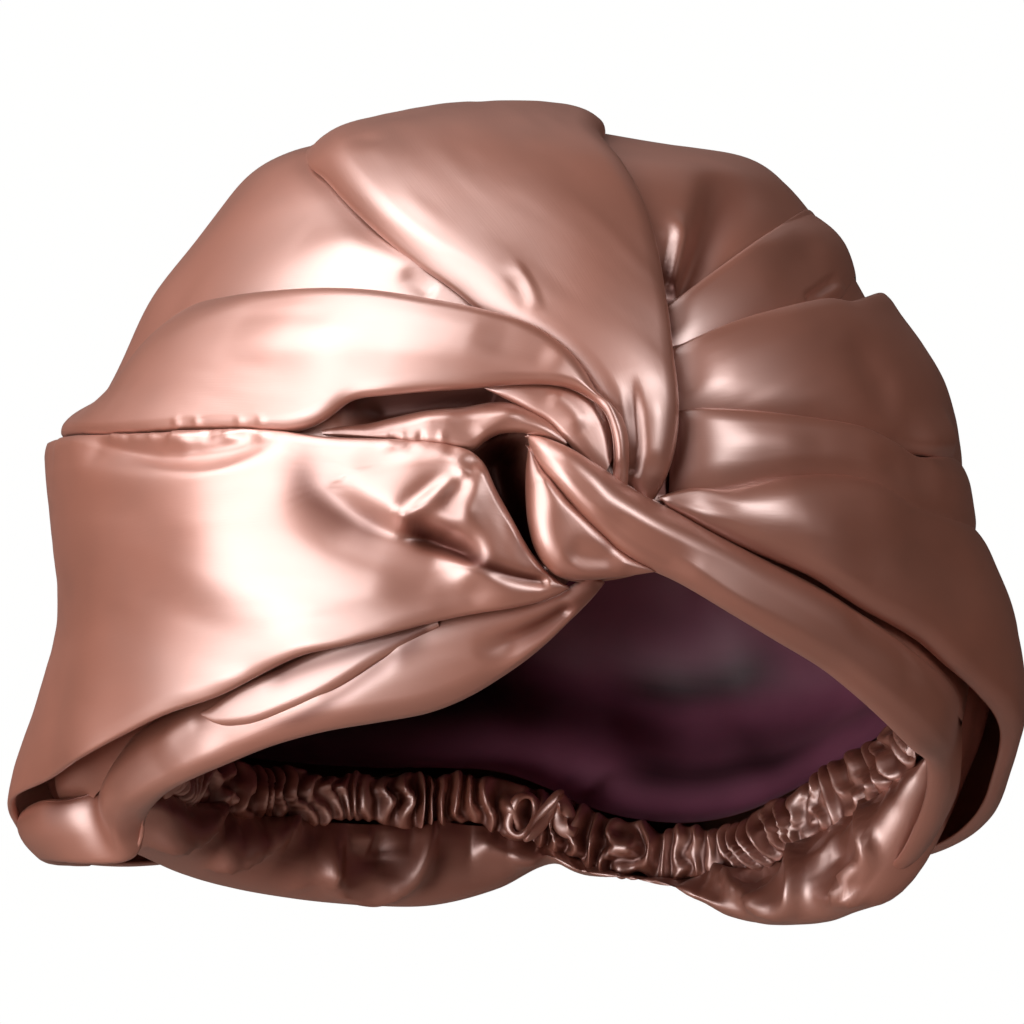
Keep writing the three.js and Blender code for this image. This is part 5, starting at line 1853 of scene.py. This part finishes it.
def crown_shades() -> list[Fold]:
    """Painted shade on the crown: beside the knot, under the loop and beside the sweep's two edges.

    Returns:
        The folds.
    """
    return [
        even([(-4, 66.6), (-2.8, 56.6), (0.9, 44.8), (7.1, 32.1)], 1, (10, 9), 0.04),
        Fold([(-43, 70.8), (-26.4, 74.1), (-14.6, 75.3), (-1.7, 74.6), (4.2, 71.3)], 0.95, (7, 8), 6, (0.25, 0.05)),
        Fold([(33, 116.8), (36.8, 99.1), (38.2, 85), (39.2, 68.4), (36.3, 48.6)], 0.9, (1.6, 3), (2, 3.6), (0.3, 0.02)),
        Fold([(37.8, 95.3), (42, 103.4), (46.7, 111.9), (52.6, 121.3), (56.6, 128.6)],
             0.45, (2.4, 9), (2.4, 8), (0.1, 0.4)),
        even([(35.4, 58.5), (35.4, 49.6)], 1, 4, 0.02),
        Fold([(-45.8, 127.4), (-37.8, 118.9), (-30, 112.3), (-19.4, 104.3), (-9.9, 96.8)],
             0.4, (1.2, 1.4), (1.6, 2.4), (0.2, 0.1)),
    ]


def pouch_folds() -> list[Fold]:
    """Ridges and hollows that hang from the nape casing down the pouch, by (x, z) in mm.

    Returns:
        The folds.
    """
    return [
        Fold([(-67.5, -18.9), (-69.6, -25), (-75.8, -30.2), (-83.5, -34.9), (-87.8, -36.1)],
             4.2, (1.3, 1.5), (3.2, 4.2), 0.1),
        Fold([(-48.6, -24.1), (-51.9, -28.8), (-59.2, -33.5), (-66.6, -36.8), (-72, -38.5)],
             4, (1.3, 1.5), (3.4, 4.6), (0.1, 0.15)),
        Fold([(-14.6, -23.1), (-19.4, -29.7), (-21.5, -35.9), (-26.2, -42), (-32.8, -45.1), (-38.7, -43.7),
              (-42, -40.1), (-41.5, -35.4), (-37.8, -31.2)],
             3.8, (3.4, 3.2), (2.2, 2), (0.06, 0.2)),
        even([(-32.6, -31.9), (-32.6, -40.1)], -3.6, (7, 6), (0, 0.2)),
        even([(-54.3, -43.9), (-45.8, -40.4), (-41.5, -38.7)], 1.2, (3, 2), (0.4, 0.1)),
        Fold([(-9, -30.9), (-3.1, -33.5), (2.8, -35.9), (8.5, -35.9)], 1.8, 1.4, 2.6, 0.2),
        even([(-15.8, -31.9), (-9.9, -37.3), (1.9, -38.2)], -1.6, 5, (0.3, 0.4)),
        Fold([(30.2, -34.5), (39.6, -37.3), (49.1, -40.1), (54.3, -43.9), (59.7, -47.2), (63.5, -48.4),
              (66.6, -46.3), (68.2, -42.5), (68.2, -38.2), (67, -30.7)],
             3.8, (2.8, 3), (1.6, 2.2), 0.1),
        even([(58.5, -37.3), (60.4, -43)], -3.6, (7, 6), (0, 0.2)),
        Fold([(70.1, -44.8), (74.6, -46), (79.5, -45.8), (83.5, -42), (86.1, -35.9), (84.3, -26.9), (83.5, -20.8)],
             3.6, 2.6, (1.8, 2), (0.15, 0.1)),
        even([(75.5, -33), (76.5, -41.3)], -3.4, 6, (0.1, 0.2)),
        Fold([(92.7, -34.5), (97.2, -28.8), (99.6, -23.1), (100.1, -17.9)], 3, 3, (1.6, 1.4), 0.2),
        even([(91.1, -21.2), (91.6, -29.5)], -2, 6, (0.2, 0.3)),
        even([(44.4, -42.5), (50.3, -46), (58.5, -49.1)], -1.6, 4, (0.3, 0.4)),
    ]


def pouch_shades() -> list[Fold]:
    """Painted shade on the pouch: all along below the casing, and in the hollows between its ridges.

    Returns:
        The folds.
    """
    return [
        even([(-85.4, -30.2), (-61.8, -33), (-35.9, -33), (-9.9, -33), (11.3, -34.5)], 0.30, 14, 0.05),
        Fold([(-73.6, -19.4), (-50, -24.8), (-31.2, -27.1), (-9.9, -28.3), (8.5, -33)], 0.55, 2.4, 3, 0.05),
        Fold([(30.2, -35.9), (49.1, -38.2), (68, -30.7), (84.5, -22.4), (95.1, -15.3)], 0.55, 2, 3, 0.05),
        Fold([(-65.4, -23.1), (-67.5, -29.7), (-76, -34.9)], 0.5, 3, 2.4, (0.2, 0.3)),
        Fold([(-46.3, -27.1), (-48.9, -33.5), (-59, -39.2)], 0.5, 3, 2.4, (0.2, 0.3)),
        even([(-29.7, -32.1), (-30.2, -38.2), (-33, -42)], 0.45, 5, (0.1, 0.4)),
        even([(-17, -33), (-17.9, -40.1), (-23.6, -44.8)], 0.45, 2.4, (0.1, 0.3)),
        even([(59.7, -36.8), (60.9, -43)], 0.4, 5, (0.1, 0.4)),
        even([(76.9, -30.2), (77.9, -39.2)], 0.35, 4, (0.1, 0.4)),
        even([(71.7, -33), (70.8, -40.1), (69.4, -46)], 0.35, 1.6, (0.1, 0.4)),
    ]


def main() -> None:
    """Builds the wrap from the inside out, then the studio."""
    logging.basicConfig(level=logging.INFO, format="%(name)s: %(message)s")
    Lining().make()
    Crown(crown_folds(), pouch_folds(), crown_shades(), pouch_shades()).make()
    NapeCasing().make()
    Pleats().make()
    Twist().make()
    Bands().make()
    Studio().make()


if __name__ == "__main__":
    main()
